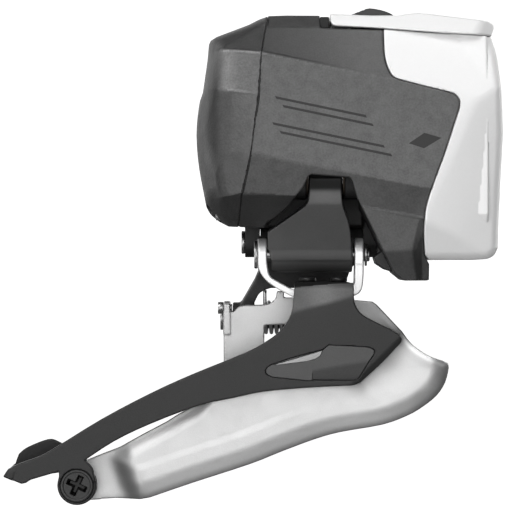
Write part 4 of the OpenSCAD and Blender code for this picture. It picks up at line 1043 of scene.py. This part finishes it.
STRAP_Y = (-11.7, -10.2)
INNER_TAIL_Y = -17.6
INNER_LOWER = curve([(13, -26.4), (18.6, -31), (22, -35), (26, -38), (26.4, -40), (24, -43.6), (15, -48),
                     (1, -51.6), (-13, -57.2), (-26, -61.6), (-36, -65)])
INNER_OUTLINE = (
    [(-19.6, -25.9), (-17.4, -25.7)]
    + curve([(-16.2, -24.6), (-14.4, -24.2), (-10.4, -24.1), (-8.6, -23.5), (-7.9, -22.6)])
    + [(-7.6, WEB_TOP - 0.4), (8.6, WEB_TOP - 0.4), (8.6, -24.4)]
    + INNER_LOWER
    + [(-44, -65.6), (-47, -67.4), (-51.5, -67.7), (-55.6, -65.4), (-55.4, -62.4), (-53, -60),
       (-49.5, -58.6), (-44, -57), (-36, -54.4), (-30, -50.6), (-24, -46.4), (-19.6, -41.6)]
)
INNER_WINDOW = curve([(-10.4, -36.6), (-10.4, -29.6), (-10.0, -28.8)], 2) + curve(
    [(-9.0, -28.7), (-1.0, -28.7), (-0.4, -29.4), (-0.4, -36.9), (-1.0, -37.6), (-9.4, -37.6)], 2)
FLANGES = [(-19.6, -18.1), (7.1, 8.6)]
STOP_AT = (-8.9, -24.9)
STOP_SCREW_R = 0.9
TAIL_TIP_R = 1.7
CROSS_TURN = math.radians(25)


def inner_cage_plate(x, y, z):
    """Silver plate with its strap, two flanges for the pins and the ledge under the fork"""
    shift = (INNER_TAIL_Y - STRAP_Y[0]) * smooth((-35.5 - x) / 8.5)
    side = outline(INNER_OUTLINE, x, z)
    roll = 0.9 * np.clip(1 - path_distance(INNER_LOWER, x, z) / 3, 0, 1) ** 2
    face_y = STRAP_Y[0] + shift - roll
    shape = meet(side, slab(y, face_y, face_y + PLATE_T), 0.3)
    shape = cut(shape, outline(INNER_WINDOW, x, z), 0.25)
    for span in FLANGES:
        flange = eyelet(x, y, z, EAR_R, span, P4, (STRAP_Y[0], P4[1] - EAR_R), (P4[0], P4[1] + 3.2), 0.3)
        shape = join(shape, flange, 0.4)
    top = block(x, y, z, (-3, -10.18, WEB_BOTTOM - 1), (8, -9.0, WEB_TOP - 0.4), 0.25)
    ledge = block(x, y, z, (-3, STRAP_Y[0], WEB_BOTTOM - 1), (8, -9.0, WEB_BOTTOM - 0.02), 0.25)
    shape = join(shape, np.minimum(top, ledge), 0.2)
    shape = cut(shape, block(x, y, z, (-6, -24, WEB_BOTTOM - 0.02), (8.62, -10.18, WEB_TOP + 1), 0.05), 0.05)
    shape = bored(shape, x, y, z, PIN_R + SNUG, P4)
    shape = cut(shape, rod_x(x, y, z, STOP_SCREW_R + SNUG, -THROUGH, -15, STOP_AT), 0.05)
    return cut(shape, rod_y(x, y, z, TAIL_TIP_R + SNUG, BOTTOM, 0, TAIL_AT), 0.1)


def tail_screw(x, y, z):
    """Dished head with a cross recess, shank, and a threaded tip"""
    u0 = x - TAIL_AT[0]
    v0 = z - TAIL_AT[1]
    head = rod_y(x, y, z, TAIL_HEAD_R, -29.3, -27.72, TAIL_AT, 0.35)
    head = cut(head, np.maximum(np.hypot(u0, v0) - 2.95, y + 29.15), 0.12)
    u = u0 * math.cos(CROSS_TURN) - v0 * math.sin(CROSS_TURN)
    v = u0 * math.sin(CROSS_TURN) + v0 * math.cos(CROSS_TURN)
    taper = 0.18 * (y + 29.3)
    across = np.maximum(np.abs(u) - 2.3 + taper, np.abs(v) - 0.62 + taper * 0.5)
    upright = np.maximum(np.abs(v) - 2.3 + taper, np.abs(u) - 0.62 + taper * 0.5)
    body = np.minimum(head, rod_y(x, y, z, TAIL_SCREW_R, -28.2, -18, TAIL_AT, 0.1))
    body = cut(body, np.maximum(np.minimum(across, upright), y + 26.4), 0.1)
    tip = rod_y(x, y, z, TAIL_TIP_R, -19, -15.5, TAIL_AT, 0.3)
    thread = 0.07 * np.cos(2 * math.pi * y / 0.8)
    return np.minimum(body, tip + np.where(y > -18, thread, 0))


def screw_painted_light(x, y, z):
    """Painted highlight on the head's rim, and painted shade in its recess"""
    radius = np.hypot(x - TAIL_AT[0], z - TAIL_AT[1])
    return np.where((y > -28.95) & (radius < 2.7), 0.05, 1 + 0.6 * smooth((radius - 3) / 0.3))


def make_cage():
    make_piece(cage_fork, "fork_yoke", (-12, -24, -22.6), (11.8, -10, -9), 0.22, 0.6,
               ("cage", "fork_silver", POLISHED), ["cage_fork"])
    make_piece(outer_cage_arm, "cage_arm", (-67.6, -29.8, -67.8), (19.7, -14.4, -18.8), 0.3, 0.6,
               ("cage", "arm_black", ARM_BLACK), ["outer_cage_arm"], arm_painted_light)
    make_piece(arm_inlay, "arm_badge", (-10.4, -29.8, -41), (14, -28.6, -32.4), 0.14, 0.5,
               ("cage", "inlay_grey", INLAY_GREY), ["arm_inlay"])
    make_piece(inlay_bright, "badge_bright_cut", (-9, -29.8, -37.4), (3, -28.9, -33.4), 0.1, 0.6,
               ("cage", "inlay_grey", BRIGHT_CUT))
    make_piece(outer_cage_plate, "outer_plate_formed", (-56, -28, -68), (30.4, -22, -22.6), 0.28, 0.6,
               ("cage", "cage_silver", BLASTED), ["outer_cage_plate"], plate_painted_light)
    make_piece(inner_cage_plate, "inner_plate_formed", (-56, -19.4, -68), (27, -1, -20.8), 0.32, 0.5,
               ("cage", "cage_silver", SHADED_BLASTED), ["inner_cage_plate"])
    make_piece(tail_screw, "cross_head_screw", (-55.4, -29.5, -67.3), (-47.6, -15.2, -59.5), 0.16, 0.6,
               ("cage", "screw_black", TAIL_SCREW_BLACK), ["tail_screw"], screw_painted_light)


# ---- return spring ----

WIRE_R = 0.42
COIL_R = 3.5
COIL_TURNS = 6
COIL_PITCH = 1.2
COIL_START = -10.3


def swept_tube(name, path, radius, sides=12):
    """Round wire along a path, closed at both ends"""
    path = np.array(path)
    ahead = np.roll(path, -1, axis=0)
    ahead[-1] = path[-1]
    behind = np.roll(path, 1, axis=0)
    behind[0] = path[0]
    along = ahead - behind
    along /= np.linalg.norm(along, axis=1)[:, None]
    first = np.cross(along, [1.0, 0, 0])
    first /= np.linalg.norm(first, axis=1)[:, None]
    second = np.cross(along, first)
    turns = 2 * math.pi * np.arange(sides) / sides
    cosines = np.cos(turns)[None, :, None]
    sines = np.sin(turns)[None, :, None]
    ring = cosines * first[:, None, :] + sines * second[:, None, :]
    points = (path[:, None, :] + radius * ring).reshape(-1, 3)
    last = (len(path) - 1) * sides
    faces = ring_faces(len(path), sides)
    faces.append([k for k in reversed(range(sides))])
    faces.append([last + k for k in range(sides)])
    return add_mesh(name, points, faces)


def make_spring():
    steps = 36
    coil = []
    for i in range(COIL_TURNS * steps + 1):
        turn = math.pi + 2 * math.pi * i / steps
        coil.append((COIL_START + COIL_PITCH * i / steps, P4[0] + COIL_R * math.cos(turn),
                     P4[1] + COIL_R * math.sin(turn)))
    side_y = P4[0] - COIL_R
    upper = [(COIL_START, side_y, P4[1] + h) for h in (6.2, 5.0, 4.0, 3.0, 2.0, 1.0)]
    end_x = COIL_START + COIL_PITCH * COIL_TURNS
    lower = [(end_x, side_y, P4[1] - h) for h in (0.7, 1.4, 2.0, 2.6)]
    obj = swept_tube("spring_coil", upper + coil + lower, WIRE_R)
    place(obj, "cage", "spring_steel", SPRING_STEEL, "return_spring")


# ---- battery ----

BATTERY_CENTRE = (28, -17, 12)


def battery_facet(a, b, c):
    return facet(a, b, c, BATTERY_CENTRE)


BATTERY_FACES = [
    battery_facet((16.1, -31.0, 25.6), (38, -30.2, 20.9), (16, -26.2, 36.6)),
    battery_facet((16.1, -31.0, 25.6), (25.7, -33.4, 1.45), (34, -31.1, 17.5)),
    battery_facet((34, -31.1, 17.5), (27.5, -32.9, -4), (36.9, -30.1, 17)),
    battery_facet((36.9, -30.1, 17), (30.9, -31.9, -4), (39.4, -28.3, 5)),
    battery_facet((24, -32.2, -9), (36, -30.6, -9), (30, -28.5, -14.4)),
    battery_facet((20, -4.6, 0), (30, -4.6, 0), (20, -4.6, 30)),
    battery_facet((36, -4.6, 0), (36, -4.6, 20), (41, -9, 10)),
]
FRONT_OUTLINE = (
    [(5, 45), (39.2, 37)]
    + curve([(40.1, 33.5), (40.8, 31), (41.6, 22.9), (41.95, 15.4), (41.9, 11.9), (41.4, 2.4), (41, -7.2)], 2)
    + curve([(40.9, -11.5), (40.0, -13.1), (38.4, -13.9)])
    + [(35.2, -14.1), (5, -14.2)]
)
BATTERY_GAP = 0.14       # between the battery and its bay
BATTERY_T = 1.6          # wall of the battery's case
BATTERY_CORE = [(-7, -13.2), (-7, 36), (-24.5, 36), (-29.4, 22), (-29.4, -4), (-24.2, -13.2)]
CONTACT_YS = (-20.8, -18, -15.2)
CONTACT_Z = 20
CONTACT_HOLE_R = 1.02
BATTERY_OUTLINE = (
    [(x + BATTERY_GAP, z + BATTERY_GAP) for x, z in BAY_EDGE[:-3]]
    + [(25.7, -14.4), (46, -14.4), (46, 34.9), (39.7, 35.15), (29.2, 35.65), (15.8, 36.6)]
)


def battery_case(x, y, z):
    outside = faceted(BATTERY_FACES, x, y, z, 0.5)
    outside = meet(outside, outline(FRONT_OUTLINE, x, z), 2.0)
    shell = meet(outside, outline(BATTERY_OUTLINE, x, z), 0.3)
    core = meet(outline(BATTERY_CORE, y, z), slab(x, 16.6, 38.5), 0.4)
    core = np.maximum(core, z - (36.6 - 0.06 * (x - 15.8)))
    shape = np.minimum(shell, core)
    cell_room = block(x, y, z, (19.4, -27.4, -11.6), (37.4, -9, 60), 0.4)
    shape = cut(shape, np.maximum(cell_room, outside + BATTERY_T), 0.2)
    shape = cut(shape, block(x, y, z, (10, -24, 16), (18.2, -12, 24), 0.2), 0.2)
    for contact_y in CONTACT_YS:
        shape = cut(shape, rod_x(x, y, z, CONTACT_HOLE_R, 10, 20.2, (contact_y, CONTACT_Z)), 0.05)
    return shape


LATCH_PIVOT = (17.4, 38.3)
LID_OUTLINE = [(4.1, 40.2), (4.05, 38.6), (4.3, 37.8), (5.1, 37.35), (15.7, 36.8), (29.2, 35.85),
               (39.7, 35.35), (40.3, 37), (40.3, 38), (39.1, 38.65), (23.4, 40.6), (18.9, 39.85),
               (12.6, 39.8)]
LID_FACES = [
    battery_facet((4, -26.9, 37.4), (38, -26.4, 35.8), (4, -24.4, 40.4)),
    battery_facet((36, -26.6, 36), (36, -25.4, 39), (41, -21.5, 36)),
    battery_facet((4, -4.8, 37), (38, -4.8, 36), (4, -8.5, 40.5)),
]


def battery_lid(x, y, z):
    shape = faceted(LID_FACES, x, y, z, 0.8)
    shape = meet(shape, outline(LID_OUTLINE, x, z), 0.45)
    shape = cut(shape, block(x, y, z, (8, -20.9, 30), (19.4, -15.1, 60), 0.2), 0.25)
    return cut(shape, rod_y(x, y, z, 0.82, -23, -13, LATCH_PIVOT), 0.05)


LATCH_OUTLINE = (
    [(8.5, 38.4), (8.5, 40.2)]
    + curve([(8.9, 40.35), (10.6, 41), (11.9, 41.5), (12.9, 41.7), (15.2, 41.35), (17.2, 40.7),
             (18.5, 39.9)])
    + [(18.9, 38.9), (18.9, 38), (18.2, 37.1), (16.6, 37.1), (15.6, 37.9), (10.2, 37.9), (10.2, 37.2),
       (8.9, 37.2)]
)


def battery_latch(x, y, z):
    shape = meet(outline(LATCH_OUTLINE, x, z), slab(y, -20.7, -15.3), 0.3)
    for rib_x in (9.4, 10.4, 11.4, 12.4):
        groove = np.hypot(x - rib_x, z - (40.95 + (rib_x - 9.6) * 0.36)) - 0.34
        shape = cut(shape, groove, 0.1)
    return cut(shape, rod_y(x, y, z, 0.85, -THROUGH, 0, LATCH_PIVOT), 0.05)


def make_battery():
    make_piece(battery_case, "battery_shell", (15, -34, -14.6), (42.2, -4, 37), 0.36, 0.5,
               ("battery", "battery_white", WHITE), ["battery_case"])
    make_piece(battery_lid, "battery_cover", (3.9, -27.2, 35), (40.6, -4.4, 40.9), 0.28, 0.5,
               ("battery", "battery_white", WHITE), ["battery_lid"])
    make_piece(battery_latch, "thumb_latch", (8.4, -20.9, 36.9), (19, -15, 41.9), 0.18, 0.6,
               ("latch", "latch_black", LATCH_BLACK), ["battery_latch"])


# ---- CAD nodes that stay, with softened edges ----

# For each material, the CAD nodes that have it and the width of their bevels in millimetres
CARRIED = [
    (SCREW_STEEL, {"cap_screws": 0.12, "knuckle_screws": 0.12, "tail_spacer": 0.15}),
    (SCREW_BLACK, {"cage_rivets": 0.25}),
    (PIN_STEEL, {"inner_link_pin": 0.25, "outer_link_pin": 0.25, "cage_pin": 0.25, "drive_shaft": 0.15,
                 "stop_screw": 0.15, "latch_pin": 0.1, "gear_pins": 0.08, "motor_shaft": 0.08}),
    (CLIP_STEEL, {"inner_pin_clips": 0.05, "cage_pin_clips": 0.05}),
    (GEARBOX_STEEL, {"gearbox_frame": 0.1}),
    (MOTOR_STEEL, {"motor_can": 0.25}),
    (BRASS, {"sector_gear": 0.04, "motor_pinion": 0.03}),
    (BRONZE, {"shaft_bushes": 0.08}),
    (NYLON, {"gear_a": 0.03, "gear_b": 0.03}),
    (GASKET, {"shaft_seal": 0.05}),
    (BOARD, {"circuit_board": 0.05}),
    (CHIP, {"board_chips": 0.08}),
    (CONTACT_BLACK, {"contact_block": 0.15, "spring_bush": 0.15}),
    (GOLD, {"contact_pins": 0.15, "battery_terminals": 0.1}),
    (CELL_BLUE, {"battery_cells": 0.3}),
    (LENS, {"status_lens": 0.15}),
    (BUTTON_BLACK, {"mode_button": 0.4}),
]


def soften(obj, width):
    """Rounds a CAD node's edges with modifiers, and leaves its mesh alone"""
    obj.modifiers.new("weld", "WELD").merge_threshold = 0.00001
    flat = obj.modifiers.new("flat", "DECIMATE")
    flat.decimate_type = "DISSOLVE"
    flat.angle_limit = math.radians(0.5)
    bevel = obj.modifiers.new("bevel", "BEVEL")
    bevel.width = width * MM
    bevel.segments = 2
    bevel.limit_method = "ANGLE"
    bevel.angle_limit = math.radians(35)
    obj.modifiers.new("normals", "WEIGHTED_NORMAL").keep_sharp = True


def dress_cad_nodes():
    for finish, widths in CARRIED:
        for node, width in widths.items():
            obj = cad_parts[node]
            obj.data.materials.clear()
            obj.data.materials.append(finish)
            soften(obj, width)


# ---- stage, light and camera ----

LIGHT_AIM = (-5, -20, -15)
VIEW_CENTRE = (-12.54, -25.0, -12.98)
VIEW_WIDTH = 112.2
LENS_MM = 200.0
SENSOR_MM = 36.0
FLOOR_Z = -76.0
FLOOR_R = 3600.0
CURVE_R = 900.0
BACKDROP_HEIGHT = 6000.0


def paper(name, brightness):
    """White paper that partly glows, so that it stays plain behind the object"""
    made = bpy.data.materials.new(name)
    made.use_nodes = True
    shader = made.node_tree.nodes["Principled BSDF"]
    shader.inputs["Base Color"].default_value = (0.8, 0.8, 0.8, 1)
    shader.inputs["Roughness"].default_value = 0.9
    shader.inputs["Emission Color"].default_value = (1, 1, 1, 1)
    shader.inputs["Emission Strength"].default_value = brightness
    return made


def add_stage():
    """Floor that curves up into a backdrop all round"""
    profile = [(FLOOR_R, 0.0)]
    for k in range(1, 13):
        turn = math.radians(90 * k / 12)
        profile.append((FLOOR_R + CURVE_R * math.sin(turn), CURVE_R - CURVE_R * math.cos(turn)))
    profile.append((FLOOR_R + CURVE_R, BACKDROP_HEIGHT))
    sides = 64
    points = []
    for r, h in profile:
        for k in range(sides):
            turn = 2 * math.pi * k / sides
            points.append((r * math.cos(turn), r * math.sin(turn) - 18, FLOOR_Z + h))
    faces = ring_faces(len(profile), sides) + [list(range(sides))]
    floor = add_mesh("studio_floor", points, faces)
    floor.data.materials.append(paper("studio_paper", 1.1))
    floor.visible_diffuse = False
    floor.visible_glossy = False
    floor.visible_shadow = False


def add_light(name, at, size, power):
    """Soft rectangular light in millimetres, aimed at the object"""
    data = bpy.data.lights.new(name, "AREA")
    data.shape = "RECTANGLE"
    data.size = size[0] * MM
    data.size_y = size[1] * MM
    data.energy = power
    obj = bpy.data.objects.new(name, data)
    obj.location = Vector(at) * MM
    obj.rotation_euler = (Vector(LIGHT_AIM) - Vector(at)).to_track_quat("-Z", "Y").to_euler()
    bpy.context.scene.collection.objects.link(obj)


# Name, place, size and power of each light
LIGHTS = [
    ("key", (0, -420, 720), (700, 360), 3.1),
    ("front_left", (-460, -640, 500), (560, 460), 3.0),
    ("front", (0, -860, 60), (500, 500), 1.9),
    ("low_left", (-420, -700, -260), (420, 360), 1.2),
    ("low", (0, -420, -640), (700, 360), 0.8),
    ("side_left", (-820, -180, 120), (300, 600), 0.6),
    ("rear_left", (-560, 460, 160), (400, 600), 0.9),
    ("rear_right", (560, 460, 160), (400, 600), 2.0),
    ("rear", (-60, 860, 220), (600, 600), 1.2),
]


def add_lights():
    for light in LIGHTS:
        add_light(*light)
    world = bpy.data.worlds.new("studio")
    bpy.context.scene.world = world
    world.use_nodes = True
    background = world.node_tree.nodes["Background"]
    background.inputs["Color"].default_value = (1, 1, 1, 1)
    background.inputs["Strength"].default_value = 0.13


def add_camera():
    data = bpy.data.cameras.new("camera")
    data.lens = LENS_MM
    data.sensor_width = SENSOR_MM
    data.clip_start = 0.01
    data.clip_end = 20
    camera = bpy.data.objects.new("camera", data)
    distance = VIEW_WIDTH * LENS_MM / SENSOR_MM
    camera.location = Vector((VIEW_CENTRE[0], VIEW_CENTRE[1] - distance, VIEW_CENTRE[2])) * MM
    camera.rotation_euler = (math.radians(90), 0, 0)
    bpy.context.scene.collection.objects.link(camera)
    bpy.context.scene.camera = camera


add_camera()
add_stage()
add_lights()
make_shells()
add_marks()
make_knuckle()
make_links()
make_cage()
make_spring()
make_battery()
dress_cad_nodes()
bpy.context.scene.view_settings.view_transform = "Standard"
